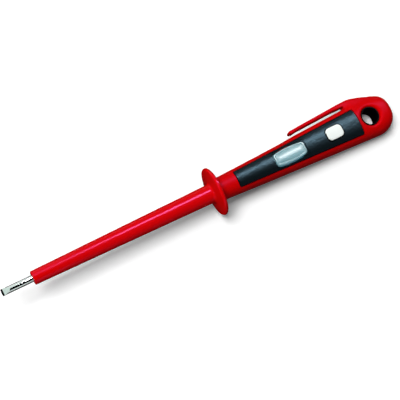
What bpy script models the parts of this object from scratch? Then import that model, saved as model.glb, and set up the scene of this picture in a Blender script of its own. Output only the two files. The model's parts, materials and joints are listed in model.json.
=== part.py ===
"""A voltage tester screwdriver: a blade in an insulating sleeve with a finger guard, and a
handle that holds a neon lamp, its resistor, a touch button and a pocket clip.

The tool lies on its back, as it rests on a table. In the tool's own frame X runs from the
blade's tip to the eye with zero at the middle of the guard, Y points to the pocket clip,
and Z points out of the window. All sizes are in metres."""

import math

import bmesh
import bpy
from mathutils import Matrix, Vector

# Clearances
FIT = 0.0003
SOFT_GAP = 0.0001
OVERRUN = 0.0020
# Points of one mesh that lie closer than this are joined
WELD = 0.00001

# Blade
TIP_REACH = 0.1000
TANG_END = 0.0130
BLADE_DIAMETER = 0.0030
TIP_FLAT_LENGTH = 0.0037
TIP_FLAT_THICKNESS = 0.0006
TIP_EDGE_LENGTH = 0.0005
TIP_EDGE_THICKNESS = 0.0004

# Insulating sleeve with its finger guard
BLADE_EXPOSED = 0.0140
SLEEVE_FRONT_DIAMETER = 0.0060
SLEEVE_REAR_DIAMETER = 0.0080
SLEEVE_EDGE = 0.0004
GUARD_DIAMETER = 0.0220
GUARD_RIM_THICKNESS = 0.0018
GUARD_HUB_THICKNESS = 0.0032
GUARD_HUB_DIAMETER = 0.0104
GUARD_FILLET = 0.0012
SPIGOT_DIAMETER = 0.0054
SPIGOT_LENGTH = 0.0080

# Handle
HANDLE_END = 0.0892
NOSE_WIDTH = 0.0098
NOSE_DEPTH = 0.0100
NOSE_EDGE = 0.0004
NOSE_ROUNDNESS_SHARE = 2.0
EYE_WIDTH = 0.0178
EYE_DEPTH = 0.0124
EYE_ROUNDNESS_SHARE = 2.5
END_ROUNDING = 0.0098
END_EDGE_ROUNDING = 0.0060
END_ROUNDNESS_SHARE = 2.3
END_REACH_SHARE = 0.93
BACK_FLAT = 0.0058
EYE_FROM_END = 0.0114
EYE_HOLE_DIAMETER = 0.0086
EYE_HOLE_ROUNDING = 0.0010
EYE_LINER_WALL = 0.0005
EYE_LINER_LENGTH = 0.0098

# Inlay, the cover of the handle's trough
INLAY_FRONT = 0.0102
INLAY_REAR = 0.0715
INLAY_FRONT_WIDTH = 0.0073
INLAY_REAR_WIDTH = 0.0122
INLAY_CORNER = 0.0005
INLAY_SEAT_HEIGHT = 0.0028
INLAY_LEDGE = 0.0010

# Trough
TROUGH_FRONT = 0.0122
TROUGH_REAR = 0.0680
TROUGH_DEPTH = 0.0036

# Window, over the middle of the lamp
WINDOW_LENGTH = 0.0163
WINDOW_WIDTH = 0.0082
WINDOW_CORNER = 0.0012
WINDOW_RECESS = 0.0004
LENS_LENGTH = 0.0149
LENS_MIDDLE_WIDTH = 0.0072
LENS_END_WIDTH = 0.0056
LENS_CORNER = 0.0010
LENS_SWELL_SHARES = ((-1.0, 0.0), (-0.5, 0.75), (0.0, 1.0), (0.5, 0.75), (1.0, 0.0))
LENS_SINK = 0.0001

# Touch button
BUTTON_MIDDLE = 0.0589
BUTTON_LENGTH = 0.0081
BUTTON_WIDTH = 0.0060
BUTTON_CORNER = 0.0019
BUTTON_TOP = 0.0067
BUTTON_EDGE = 0.0005
BUTTON_TRAVEL = 0.0008
BUTTON_FLANGE = 0.0007
BUTTON_FLANGE_THICKNESS = 0.0006
BUTTON_PIN_DIAMETER = 0.0016
BUTTON_SPRING_DIAMETER = 0.0036
BUTTON_SPRING_WIRE = 0.0004
BUTTON_SPRING_TURNS = 3

# Resistor, lamp and their contacts
RESISTOR_LENGTH = 0.0130
RESISTOR_DIAMETER = 0.0020
CAP_WALL = 0.0003
RESISTOR_CAP_LENGTH = 0.0025
LAMP_LENGTH = 0.0200
LAMP_GLASS_DIAMETER = 0.0040
LAMP_GLASS_WALL = 0.0005
LAMP_CAP_LENGTH = 0.0030
ELECTRODE_DIAMETER = 0.0007
ELECTRODE_SPACING = 0.0014
ELECTRODE_LENGTH = 0.0105
CONTACT_SPRING_DIAMETER = 0.0036
CONTACT_SPRING_WIRE = 0.0004
CONTACT_SPRING_LENGTH = 0.0041
CONTACT_SPRING_TURNS = 4
STRIP_THICKNESS = 0.0004
STRIP_WIDTH = 0.0044
STRIP_HEIGHT = 0.0033
STRIP_BEYOND_BUTTON = 0.0060
CARRIER_RIB_THICKNESS = 0.0016
CARRIER_RIB_WIDTH = 0.0044

# Pocket clip
CLIP_TIP = 0.0415
CLIP_ROOT = 0.0697
CLIP_GAP = 0.0012
CLIP_TIP_THICKNESS = 0.0014
CLIP_ROOT_THICKNESS = 0.0018
CLIP_NOSE = 0.0005
CLIP_NOSE_LENGTH = 0.0040
CLIP_DEPTH = 0.0046
CLIP_EDGE = 0.0004
CLIP_CORNER = 0.0005
CLIP_BASE_LENGTH = 0.0145
CLIP_BASE_DEPTH = 0.0084
CLIP_BASE_SEAT_SHARE = 0.8
# Along the base, how high its outer side still stands and how far it has deepened
CLIP_BASE_SHARES = (
    (0.00, 1.00, 0.00),
    (0.12, 1.03, 0.25),
    (0.28, 0.98, 0.60),
    (0.46, 0.80, 0.90),
    (0.66, 0.51, 1.00),
    (0.84, 0.22, 0.90),
    (1.00, 0.00, 0.70),
)

# Facets
TURNED_STEPS = 40
HANDLE_SIDES = 40
HANDLE_STEPS = 6
END_STEPS = 9
ARC_STEPS = 5
ROD_SIDES = 24
COIL_STEPS = 14

# Places that follow from the sizes above
tip_x = -TIP_REACH
sleeve_front_x = tip_x + BLADE_EXPOSED
hub_half = GUARD_HUB_THICKNESS / 2
bore_diameter = BLADE_DIAMETER + 2 * FIT
handle_front = hub_half + FIT
end_rounding_x = HANDLE_END - END_ROUNDING
edge_rounding_x = HANDLE_END - END_EDGE_ROUNDING
eye_x = HANDLE_END - EYE_FROM_END
inlay_bottom = INLAY_SEAT_HEIGHT + FIT
above_tool = BUTTON_TOP + OVERRUN
resistor_x = TANG_END + FIT
lamp_x = resistor_x + RESISTOR_LENGTH + FIT
window_middle = lamp_x + LAMP_LENGTH / 2
contact_spring_x = lamp_x + LAMP_LENGTH + FIT
strip_x = contact_spring_x + CONTACT_SPRING_LENGTH + FIT
resistor_cap_diameter = RESISTOR_DIAMETER + 2 * (FIT + CAP_WALL)
lamp_cap_diameter = LAMP_GLASS_DIAMETER + 2 * (FIT + CAP_WALL)
deck_height = -BLADE_DIAMETER / 2 - FIT
strip_top = deck_height + FIT + STRIP_THICKNESS
flange_top = INLAY_SEAT_HEIGHT
flange_bottom = flange_top - BUTTON_FLANGE_THICKNESS


def clear_scene():
    for obj in list(bpy.data.objects):
        bpy.data.objects.remove(obj, do_unlink=True)


def new_collection(name):
    collection = bpy.data.collections.new(name)
    bpy.context.scene.collection.children.link(collection)
    return collection


def new_material(name, colour, roughness, metallic=0.0, transmission=0.0):
    """A plain material; the colour is linear red, green and blue."""
    material = bpy.data.materials.new(name)
    material.use_nodes = True
    material.diffuse_color = (*colour, 1.0)
    shader = material.node_tree.nodes["Principled BSDF"]
    shader.inputs["Base Color"].default_value = (*colour, 1.0)
    shader.inputs["Roughness"].default_value = roughness
    shader.inputs["Metallic"].default_value = metallic
    shader.inputs["Transmission Weight"].default_value = transmission
    return material


def add_mesh_object(name, mesh, place=(0.0, 0.0, 0.0)):
    """An object in the tool's frame, listed among the cutters until it is finished as a part."""
    obj = bpy.data.objects.new(name, mesh)
    cutters.objects.link(obj)
    obj.parent = tool_frame
    obj.location = place
    obj.hide_render = True
    obj.display_type = "WIRE"
    return obj


def finish(obj, material):
    """Makes the object a part: it shows, has its own material and is shaded smooth."""
    cutters.objects.unlink(obj)
    parts.objects.link(obj)
    obj.hide_render = False
    obj.display_type = "TEXTURED"
    obj.data.materials.clear()
    obj.data.materials.append(material)
    if obj.type == "MESH":
        obj.data.shade_smooth()
        obj.data.set_sharp_from_angle(angle=math.radians(35))
    return obj


def boolean(target, other, operation):
    modifier = target.modifiers.new(operation.title(), "BOOLEAN")
    modifier.object = other
    modifier.operation = operation
    modifier.solver = "EXACT"


def bevel(obj, width, segments=2):
    modifier = obj.modifiers.new("Rounded edges", "BEVEL")
    modifier.width = width
    modifier.segments = segments
    modifier.limit_method = "ANGLE"
    modifier.angle_limit = math.radians(40)


def box(name, low, high):
    mesh = bpy.data.meshes.new(name)
    shape = bmesh.new()
    bmesh.ops.create_cube(shape, size=1)
    size = Vector(high) - Vector(low)
    bmesh.ops.transform(shape, matrix=Matrix.Diagonal((*size, 1)), verts=shape.verts)
    middle = (Vector(high) + Vector(low)) / 2
    bmesh.ops.translate(shape, vec=middle, verts=shape.verts)
    shape.to_mesh(mesh)
    shape.free()
    return add_mesh_object(name, mesh)


def rod(name, diameter, start_x, end_x, y=0.0):
    """A round bar along X."""
    mesh = bpy.data.meshes.new(name)
    shape = bmesh.new()
    bmesh.ops.create_cone(
        shape,
        cap_ends=True,
        segments=ROD_SIDES,
        radius1=diameter / 2,
        radius2=diameter / 2,
        depth=end_x - start_x,
        matrix=Matrix.Rotation(math.pi / 2, 4, "Y"),
    )
    bmesh.ops.translate(shape, vec=((start_x + end_x) / 2, y, 0.0), verts=shape.verts)
    shape.to_mesh(mesh)
    shape.free()
    return add_mesh_object(name, mesh)


def turned(name, profile, place=(0.0, 0.0, 0.0), along_x=True, closed=True):
    """A turned shape from (radius, height) points that run down its outer side."""
    mesh = bpy.data.meshes.new(name)
    edges = [(i, i + 1) for i in range(len(profile) - 1)]
    if closed:
        edges.append((len(profile) - 1, 0))
    mesh.from_pydata([(radius, 0.0, height) for radius, height in profile], edges, [])
    obj = add_mesh_object(name, mesh, place)
    if along_x:
        obj.rotation_euler = (0.0, math.pi / 2, 0.0)
    screw = obj.modifiers.new("Turn", "SCREW")
    screw.axis = "Z"
    screw.steps = TURNED_STEPS
    screw.render_steps = TURNED_STEPS
    screw.use_merge_vertices = True
    screw.merge_threshold = WELD
    return obj


def slab(name, outline, low, high, place=(0.0, 0.0, 0.0), on_edge=False):
    """A flat shape of an XY outline between two heights, or of an XZ outline if it stands on edge."""
    curve = bpy.data.curves.new(name, "CURVE")
    curve.dimensions = "2D"
    curve.fill_mode = "BOTH"
    curve.extrude = (high - low) / 2
    spline = curve.splines.new("POLY")
    spline.points.add(len(outline) - 1)
    for point, (x, y) in zip(spline.points, outline):
        point.co = (x, y, 0.0, 1.0)
    spline.use_cyclic_u = True
    flat = bpy.data.objects.new(name, curve)
    cutters.objects.link(flat)
    graph = bpy.context.evaluated_depsgraph_get()
    mesh = bpy.data.meshes.new_from_object(flat.evaluated_get(graph))
    bpy.data.objects.remove(flat, do_unlink=True)
    mesh.name = name
    shape = bmesh.new()
    shape.from_mesh(mesh)
    bmesh.ops.remove_doubles(shape, verts=shape.verts, dist=WELD)
    bmesh.ops.dissolve_limit(
        shape, angle_limit=math.radians(0.5), verts=shape.verts, edges=shape.edges
    )
    bmesh.ops.translate(shape, vec=(0.0, 0.0, (high + low) / 2), verts=shape.verts)
    if on_edge:
        bmesh.ops.rotate(shape, matrix=Matrix.Rotation(math.pi / 2, 3, "X"), verts=shape.verts)
    bmesh.ops.recalc_face_normals(shape, faces=shape.faces)
    shape.to_mesh(mesh)
    shape.free()
    return add_mesh_object(name, mesh, place)


def coil(name, diameter, wire, length, turns, along_x, place):
    """A coil spring whose wire is one unbroken tube."""
    curve = bpy.data.curves.new(name, "CURVE")
    curve.dimensions = "3D"
    curve.bevel_depth = wire / 2
    curve.bevel_resolution = 1
    curve.use_fill_caps = True
    spline = curve.splines.new("POLY")
    count = turns * COIL_STEPS
    spline.points.add(count)
    for i, point in enumerate(spline.points):
        angle = math.tau * i / COIL_STEPS
        across = (diameter / 2 * math.cos(angle), diameter / 2 * math.sin(angle))
        along = wire / 2 + (length - wire) * i / count
        point.co = (along, *across, 1.0) if along_x else (*across, along, 1.0)
    obj = bpy.data.objects.new(name, curve)
    cutters.objects.link(obj)
    obj.parent = tool_frame
    obj.location = place
    return obj


def rounded(corners, radius):
    """The outline of a polygon, counted anticlockwise, with an arc at each corner."""
    outline = []
    for i, corner in enumerate(corners):
        here = Vector(corner)
        before = (Vector(corners[i - 1]) - here).normalized()
        after = (Vector(corners[(i + 1) % len(corners)]) - here).normalized()
        half_angle = math.acos(max(-1.0, min(1.0, before.dot(after)))) / 2
        centre = here + (before + after).normalized() * radius / math.sin(half_angle)
        reach = radius / math.tan(half_angle)
        start = here + before * reach - centre
        turn = math.pi - 2 * half_angle
        for step in range(ARC_STEPS + 1):
            spoke = start.copy()
            spoke.rotate(Matrix.Rotation(turn * step / ARC_STEPS, 2))
            outline.append(tuple(centre + spoke))
    return outline


def rounded_rectangle(length, width, radius, middle_x=0.0, grow=0.0):
    x = length / 2 + grow
    y = width / 2 + grow
    corners = [(-x, -y), (x, -y), (x, y), (-x, y)]
    return rounded([(middle_x + cx, cy) for cx, cy in corners], radius + grow)


def between(x, start_x, end_x, start, end):
    return start + (end - start) * (x - start_x) / (end_x - start_x)


def end_rounding(x, start_x):
    """How far the handle's rounded end has drawn in at x, from 1 at its start to 0 at the end."""
    along = max(0.0, (x - start_x) / (HANDLE_END - start_x))
    return (1 - along**END_ROUNDNESS_SHARE) ** (1 / END_ROUNDNESS_SHARE)


def handle_half_width(x):
    width = between(x, handle_front, end_rounding_x, NOSE_WIDTH, EYE_WIDTH)
    return width / 2 * end_rounding(x, end_rounding_x)


def handle_half_depth(x):
    depth = between(x, handle_front, end_rounding_x, NOSE_DEPTH, EYE_DEPTH)
    return min(depth, EYE_DEPTH) / 2 * end_rounding(x, edge_rounding_x)


def handle_stations():
    """Places of the handle's sections: its nose, its long taper, then closer along the rounded end."""
    stations = [handle_front]
    for i in range(HANDLE_STEPS + 1):
        stations.append(between(i, 0, HANDLE_STEPS, handle_front + NOSE_EDGE, end_rounding_x))
    for i in range(1, END_STEPS + 1):
        turn = math.pi / 2 * END_REACH_SHARE * i / END_STEPS
        stations.append(end_rounding_x + END_ROUNDING * math.sin(turn))
    return stations


def loft(name, sections, sides):
    """A form through rounded sections: each has its x, middle y, half width, half depth and roundness."""
    shape = bmesh.new()
    rings = []
    for x, middle_y, half_width, half_depth, roundness in sections:
        ring = []
        for i in range(sides):
            angle = math.tau * (i + 0.5) / sides
            across = math.copysign(abs(math.cos(angle)) ** (2 / roundness), math.cos(angle))
            up = math.copysign(abs(math.sin(angle)) ** (2 / roundness), math.sin(angle))
            ring.append(shape.verts.new((x, middle_y + half_width * across, half_depth * up)))
        rings.append(ring)
    for ring, following in zip(rings, rings[1:]):
        for i in range(sides):
            j = (i + 1) % sides
            shape.faces.new((ring[i], ring[j], following[j], following[i]))
    shape.faces.new(rings[0])
    shape.faces.new(rings[-1])
    bmesh.ops.recalc_face_normals(shape, faces=shape.faces)
    mesh = bpy.data.meshes.new(name)
    shape.to_mesh(mesh)
    shape.free()
    return add_mesh_object(name, mesh)


def handle_form(name, inset=0.0):
    """The handle's outer form, which turns from a round nose to a squarer oval at the eye."""
    sections = []
    for x in handle_stations():
        drawn_in = inset + (NOSE_EDGE if x == handle_front else 0.0)
        half_width = handle_half_width(x) - drawn_in
        half_depth = handle_half_depth(x) - drawn_in
        roundness = between(x, handle_front, HANDLE_END, NOSE_ROUNDNESS_SHARE, EYE_ROUNDNESS_SHARE)
        sections.append((x, 0.0, half_width, half_depth, roundness))
    return loft(name, sections, HANDLE_SIDES)


def inlay_half_width(x):
    return between(x, INLAY_FRONT, INLAY_REAR, INLAY_FRONT_WIDTH, INLAY_REAR_WIDTH) / 2


def inlay_outline(grow=0.0):
    front = INLAY_FRONT - grow
    rear = INLAY_REAR + grow
    half_front = inlay_half_width(front) + grow
    half_rear = inlay_half_width(rear) + grow
    corners = [(front, -half_front), (rear, -half_rear), (rear, half_rear), (front, half_front)]
    return rounded(corners, INLAY_CORNER + grow)


def trough_outline(gap=0.0):
    """The trough leaves a ledge under both long edges of the inlay."""
    front = TROUGH_FRONT + gap
    rear = TROUGH_REAR - gap
    half_front = inlay_half_width(front) - INLAY_LEDGE - gap
    half_rear = inlay_half_width(rear) - INLAY_LEDGE - gap
    return [(front, -half_front), (rear, -half_rear), (rear, half_rear), (front, half_front)]


def lens_outline(grow=0.0):
    """A barrel: straight ends, and long sides that swell to the middle."""
    side = []
    for along, swell in LENS_SWELL_SHARES:
        half_width = between(swell, 0, 1, LENS_END_WIDTH, LENS_MIDDLE_WIDTH) / 2
        side.append((along * (LENS_LENGTH / 2 + grow), half_width + grow))
    corners = [(x, -y) for x, y in side] + [(x, y) for x, y in reversed(side)]
    return rounded([(window_middle + x, y) for x, y in corners], LENS_CORNER + grow)


def arc(centre, radius, start, end, steps=ARC_STEPS):
    """(radius, height) points of a turned profile's arc, its angles in degrees."""
    points = []
    for i in range(steps + 1):
        angle = math.radians(between(i, 0, steps, start, end))
        points.append((centre[0] + radius * math.cos(angle), centre[1] + radius * math.sin(angle)))
    return points


def make_blade():
    blade = rod("blade", BLADE_DIAMETER, tip_x, TANG_END)
    far = BLADE_DIAMETER / 2 + OVERRUN
    ramp = BLADE_DIAMETER / 2 / (TIP_FLAT_LENGTH - TIP_EDGE_LENGTH)
    for side in (1, -1):
        outline = [
            (tip_x - OVERRUN, side * TIP_EDGE_THICKNESS / 2),
            (tip_x, side * TIP_EDGE_THICKNESS / 2),
            (tip_x + TIP_EDGE_LENGTH, side * TIP_FLAT_THICKNESS / 2),
            (tip_x + TIP_FLAT_LENGTH, side * BLADE_DIAMETER / 2),
            (tip_x + TIP_FLAT_LENGTH + OVERRUN, side * (BLADE_DIAMETER / 2 + OVERRUN * ramp)),
            (tip_x + TIP_FLAT_LENGTH + OVERRUN, side * 2 * far),
            (tip_x - OVERRUN, side * 2 * far),
        ]
        ground = slab(f"ground_face_{'upper' if side > 0 else 'lower'}", outline, -far, far, on_edge=True)
        boolean(blade, ground, "DIFFERENCE")
    return finish(blade, nickel)


def make_sleeve():
    """The sleeve, the guard and the spigot, turned as one piece around the blade's bore."""
    bore = bore_diameter / 2
    spigot = SPIGOT_DIAMETER / 2
    spigot_end = handle_front + SPIGOT_LENGTH
    rim = GUARD_RIM_THICKNESS / 2
    hub = GUARD_HUB_DIAMETER / 2
    root = SLEEVE_REAR_DIAMETER / 2
    front = SLEEVE_FRONT_DIAMETER / 2
    fillet_centre = (root + GUARD_FILLET, -hub_half - GUARD_FILLET)
    profile = [
        (bore, spigot_end),
        (spigot - SLEEVE_EDGE, spigot_end),
        (spigot, spigot_end - SLEEVE_EDGE),
        (spigot, hub_half),
        (hub, hub_half),
        *arc((GUARD_DIAMETER / 2 - rim, 0.0), rim, 82, -82, steps=8),
        *arc(fillet_centre, GUARD_FILLET, 85, 180),
        (front, sleeve_front_x + SLEEVE_EDGE),
        (front - SLEEVE_EDGE, sleeve_front_x),
        (bore, sleeve_front_x),
    ]
    return finish(turned("insulating_sleeve", profile), red_sleeve)


def eye_cutter():
    """The eye's hole, flared at both faces so that its edges are rounded."""
    hole = EYE_HOLE_DIAMETER / 2
    face = EYE_DEPTH / 2
    flare = EYE_HOLE_ROUNDING
    upper = arc((hole + flare, face - flare), flare, 105, 180)
    lower = arc((hole + flare, -BACK_FLAT + flare), flare, 180, 255)
    beyond = face + OVERRUN
    profile = [
        (0.0, beyond),
        (upper[0][0], beyond),
        *upper,
        *lower,
        (lower[-1][0], -beyond),
        (0.0, -beyond),
    ]
    return turned("eye_cutter", profile, place=(eye_x, 0.0, 0.0), along_x=False, closed=False)


def clip_sides(x):
    """Where the clip's inner side, middle and outer side lie at x."""
    thickness = between(x, CLIP_TIP, CLIP_ROOT, CLIP_TIP_THICKNESS, CLIP_ROOT_THICKNESS)
    inner = handle_half_width(x) + CLIP_GAP
    return inner, inner + thickness / 2, inner + thickness


def clip_base():
    """The clip's root on the handle: a flat face towards the arm and a long slope down to the eye."""
    top = clip_sides(CLIP_ROOT)[2]
    end_x = CLIP_ROOT + CLIP_BASE_LENGTH
    low = handle_half_width(end_x)
    beside_inlay = inlay_half_width(INLAY_REAR) + FIT + INLAY_LEDGE / 2
    sections = []
    for along, up, deepened in CLIP_BASE_SHARES:
        x = CLIP_ROOT + along * CLIP_BASE_LENGTH
        outside = between(up, 0, 1, low, top)
        inside = min(beside_inlay, CLIP_BASE_SEAT_SHARE * handle_half_width(x))
        half_depth = between(deepened, 0, 1, CLIP_DEPTH, CLIP_BASE_DEPTH) / 2
        middle_y = (outside + inside) / 2
        half_width = (outside - inside) / 2
        sections.append((x, middle_y, half_width, half_depth, EYE_ROUNDNESS_SHARE))
    return loft("clip_base", sections, TURNED_STEPS)


def make_handle():
    handle = handle_form("handle_body")
    boolean(handle, clip_base(), "UNION")
    far = EYE_WIDTH
    lowest = (handle_front - OVERRUN, -far, -far)
    highest = (HANDLE_END + OVERRUN, far, -BACK_FLAT)
    boolean(handle, box("back_cutter", lowest, highest), "DIFFERENCE")
    pocket = slab("inlay_pocket", inlay_outline(FIT), INLAY_SEAT_HEIGHT, above_tool)
    boolean(handle, pocket, "DIFFERENCE")
    trough = slab("trough_cutter", trough_outline(), -TROUGH_DEPTH, above_tool)
    boolean(handle, trough, "DIFFERENCE")
    spigot_bore = rod(
        "spigot_bore", SPIGOT_DIAMETER + 2 * FIT, handle_front - OVERRUN, handle_front + SPIGOT_LENGTH + FIT
    )
    boolean(handle, spigot_bore, "DIFFERENCE")
    tang_bore = rod("tang_bore", bore_diameter, handle_front, TROUGH_FRONT + OVERRUN)
    boolean(handle, tang_bore, "DIFFERENCE")
    boolean(handle, eye_cutter(), "DIFFERENCE")
    return finish(handle, red_handle)


def make_eye_liner():
    outer = EYE_HOLE_DIAMETER / 2 - FIT
    inner = outer - EYE_LINER_WALL
    half = EYE_LINER_LENGTH / 2
    profile = [(inner, half), (outer, half), (outer, -half), (inner, -half)]
    return finish(turned("eye_liner", profile, place=(eye_x, 0.0, 0.0), along_x=False), black_liner)


def make_clip():
    """The springy arm, with a nose at its tip that presses on the pocket's cloth."""
    root_x = CLIP_ROOT - FIT
    inner_root, middle_root, outer_root = clip_sides(root_x)
    nose_end = CLIP_TIP + CLIP_TIP_THICKNESS
    behind_nose = CLIP_TIP + CLIP_NOSE_LENGTH
    corners = [
        (CLIP_TIP, clip_sides(CLIP_TIP)[0] - CLIP_NOSE),
        (nose_end, clip_sides(nose_end)[0] - CLIP_NOSE),
        (behind_nose, clip_sides(behind_nose)[0]),
        (root_x, inner_root),
        (root_x, outer_root),
        (CLIP_TIP, clip_sides(CLIP_TIP)[2]),
    ]
    outline = [(x - CLIP_ROOT, y - middle_root) for x, y in rounded(corners, CLIP_CORNER)]
    arm = slab(
        "pocket_clip", outline, -CLIP_DEPTH / 2, CLIP_DEPTH / 2, place=(CLIP_ROOT, middle_root, 0.0)
    )
    bevel(arm, CLIP_EDGE)
    return finish(arm, red_clip)


def make_inlay():
    inlay = handle_form("handle_inlay")
    blank = slab("inlay_blank", inlay_outline(), inlay_bottom, above_tool)
    boolean(inlay, blank, "INTERSECT")
    recess = slab(
        "window_recess",
        rounded_rectangle(WINDOW_LENGTH, WINDOW_WIDTH, WINDOW_CORNER, window_middle),
        inlay_bottom + FIT,
        above_tool,
    )
    boolean(recess, handle_form("recess_floor", WINDOW_RECESS), "DIFFERENCE")
    boolean(inlay, recess, "DIFFERENCE")
    lens_hole = slab("lens_hole", lens_outline(FIT), 0.0, above_tool)
    boolean(inlay, lens_hole, "DIFFERENCE")
    button_hole = slab(
        "button_hole",
        rounded_rectangle(BUTTON_LENGTH, BUTTON_WIDTH, BUTTON_CORNER, BUTTON_MIDDLE, grow=FIT),
        0.0,
        above_tool,
    )
    boolean(inlay, button_hole, "DIFFERENCE")
    return finish(inlay, black_inlay)


def make_lens():
    lens = slab("window_lens", lens_outline(), inlay_bottom, above_tool)
    boolean(lens, handle_form("lens_top", LENS_SINK), "INTERSECT")
    return finish(lens, clear_lens)


def make_button():
    """A key with a retaining flange below the inlay and a contact pin above the strip."""
    key = slab(
        "touch_button",
        rounded_rectangle(BUTTON_LENGTH, BUTTON_WIDTH, BUTTON_CORNER),
        flange_bottom + BUTTON_FLANGE_THICKNESS / 2,
        BUTTON_TOP,
        place=(BUTTON_MIDDLE, 0.0, 0.0),
    )
    bevel(key, BUTTON_EDGE, segments=3)
    flange = slab(
        "button_flange",
        rounded_rectangle(BUTTON_LENGTH, BUTTON_WIDTH, BUTTON_CORNER, grow=BUTTON_FLANGE),
        flange_bottom,
        flange_top,
        place=(BUTTON_MIDDLE, 0.0, 0.0),
    )
    boolean(key, flange, "UNION")
    pin_end = strip_top + BUTTON_TRAVEL + SOFT_GAP
    pin_top = flange_top - BUTTON_FLANGE_THICKNESS / 2
    radius = BUTTON_PIN_DIAMETER / 2
    pin = turned(
        "button_pin",
        [(0.0, pin_top), (radius, pin_top), (radius, pin_end), (0.0, pin_end)],
        place=(BUTTON_MIDDLE, 0.0, 0.0),
        along_x=False,
        closed=False,
    )
    boolean(key, pin, "UNION")
    return finish(key, white_button)


def make_button_spring():
    length = flange_bottom - FIT - strip_top - FIT
    return finish(
        coil(
            "button_spring",
            BUTTON_SPRING_DIAMETER,
            BUTTON_SPRING_WIRE,
            length,
            BUTTON_SPRING_TURNS,
            along_x=False,
            place=(BUTTON_MIDDLE, 0.0, strip_top + FIT),
        ),
        spring_steel,
    )


def cap_profile(inner_diameter, length):
    """A cup turned around X, its mouth towards the lower height."""
    inner = inner_diameter / 2
    outer = inner + CAP_WALL
    return [
        (0.0, length),
        (outer, length),
        (outer, 0.0),
        (inner, 0.0),
        (inner, length - CAP_WALL),
        (0.0, length - CAP_WALL),
    ]


def make_capped(name, start_x, length, diameter, cap_length, material):
    """The two end cups of a resistor or a lamp; the front one faces the other way round."""
    profile = cap_profile(diameter + 2 * FIT, cap_length)
    mirrored = [(radius, -height) for radius, height in reversed(profile)]
    end_x = start_x + length
    for end, shape, mouth_x in (
        ("front", mirrored, start_x + cap_length),
        ("rear", profile, end_x - cap_length),
    ):
        cap = turned(f"{name}_cap_{end}", shape, place=(mouth_x, 0.0, 0.0), closed=False)
        finish(cap, material)


def make_resistor():
    make_capped("resistor", resistor_x, RESISTOR_LENGTH, RESISTOR_DIAMETER, RESISTOR_CAP_LENGTH, nickel)
    inset = CAP_WALL + FIT
    body = rod("resistor_body", RESISTOR_DIAMETER, resistor_x + inset, resistor_x + RESISTOR_LENGTH - inset)
    return finish(body, resistor_paint)


def make_lamp():
    make_capped("lamp", lamp_x, LAMP_LENGTH, LAMP_GLASS_DIAMETER, LAMP_CAP_LENGTH, brass)
    inset = CAP_WALL + FIT
    start_x = lamp_x + inset
    end_x = lamp_x + LAMP_LENGTH - inset
    outer = LAMP_GLASS_DIAMETER / 2
    inner = outer - LAMP_GLASS_WALL
    profile = [(inner, end_x), (outer, end_x), (outer, start_x), (inner, start_x)]
    finish(turned("lamp_glass", profile), lamp_glass)
    for name, side, first_x in (
        ("lamp_electrode_front", 1, start_x),
        ("lamp_electrode_rear", -1, end_x - ELECTRODE_LENGTH),
    ):
        electrode = rod(
            name, ELECTRODE_DIAMETER, first_x, first_x + ELECTRODE_LENGTH, y=side * ELECTRODE_SPACING / 2
        )
        finish(electrode, nickel)


def make_contacts():
    spring = coil(
        "contact_spring",
        CONTACT_SPRING_DIAMETER,
        CONTACT_SPRING_WIRE,
        CONTACT_SPRING_LENGTH,
        CONTACT_SPRING_TURNS,
        along_x=True,
        place=(contact_spring_x, 0.0, 0.0),
    )
    finish(spring, spring_steel)
    bottom = strip_top - STRIP_THICKNESS
    end_x = BUTTON_MIDDLE + STRIP_BEYOND_BUTTON
    outline = [
        (strip_x, bottom),
        (end_x, bottom),
        (end_x, strip_top),
        (strip_x + STRIP_THICKNESS, strip_top),
        (strip_x + STRIP_THICKNESS, bottom + STRIP_HEIGHT),
        (strip_x, bottom + STRIP_HEIGHT),
    ]
    strip = slab("contact_strip", outline, -STRIP_WIDTH / 2, STRIP_WIDTH / 2, on_edge=True)
    return finish(strip, brass)


def make_carrier():
    """A deck in the trough, with two ribs that cradle the resistor and a groove for the lamp."""
    carrier = slab("component_carrier", trough_outline(FIT), -TROUGH_DEPTH + FIT, deck_height)
    body_start = resistor_x + RESISTOR_CAP_LENGTH + FIT
    body_end = resistor_x + RESISTOR_LENGTH - RESISTOR_CAP_LENGTH - FIT
    half = CARRIER_RIB_WIDTH / 2
    for i, rib_x in enumerate((body_start, body_end - CARRIER_RIB_THICKNESS)):
        rib = box(
            f"carrier_rib_{i + 1}",
            (rib_x, -half, -TROUGH_DEPTH + 2 * FIT),
            (rib_x + CARRIER_RIB_THICKNESS, half, 0.0),
        )
        boolean(carrier, rib, "UNION")
    notch = rod("resistor_notch", RESISTOR_DIAMETER + 2 * FIT, resistor_x, resistor_x + RESISTOR_LENGTH)
    boolean(carrier, notch, "DIFFERENCE")
    groove = rod("lamp_groove", lamp_cap_diameter + 2 * FIT, lamp_x - FIT, strip_x - FIT)
    boolean(carrier, groove, "DIFFERENCE")
    return finish(carrier, white_carrier)


def lie_down():
    """Lays the tool on its guard and its eye end, with the table at zero height below its middle."""
    tool_frame.rotation_euler = (0.0, rest_tilt(), 0.0)
    bpy.context.view_layer.update()
    graph = bpy.context.evaluated_depsgraph_get()
    points = []
    for obj in parts.objects:
        if obj.type == "EMPTY":
            continue
        solid = obj.evaluated_get(graph)
        points += [solid.matrix_world @ vertex.co for vertex in solid.to_mesh().vertices]
        solid.to_mesh_clear()
    low = [min(point[axis] for point in points) for axis in range(3)]
    high = [max(point[axis] for point in points) for axis in range(3)]
    tool_frame.location = (-(low[0] + high[0]) / 2, -(low[1] + high[1]) / 2, -low[2])
    bpy.context.view_layer.update()


def rest_tilt():
    """The angle by which the handle's end hangs lower than the guard's middle on a flat table."""
    guard = GUARD_DIAMETER / 2
    slopes = []
    for x in handle_stations():
        if x > HANDLE_END / 2:
            slopes.append(math.atan2(guard - min(handle_half_depth(x), BACK_FLAT), x))
    return min(slopes)


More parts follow.
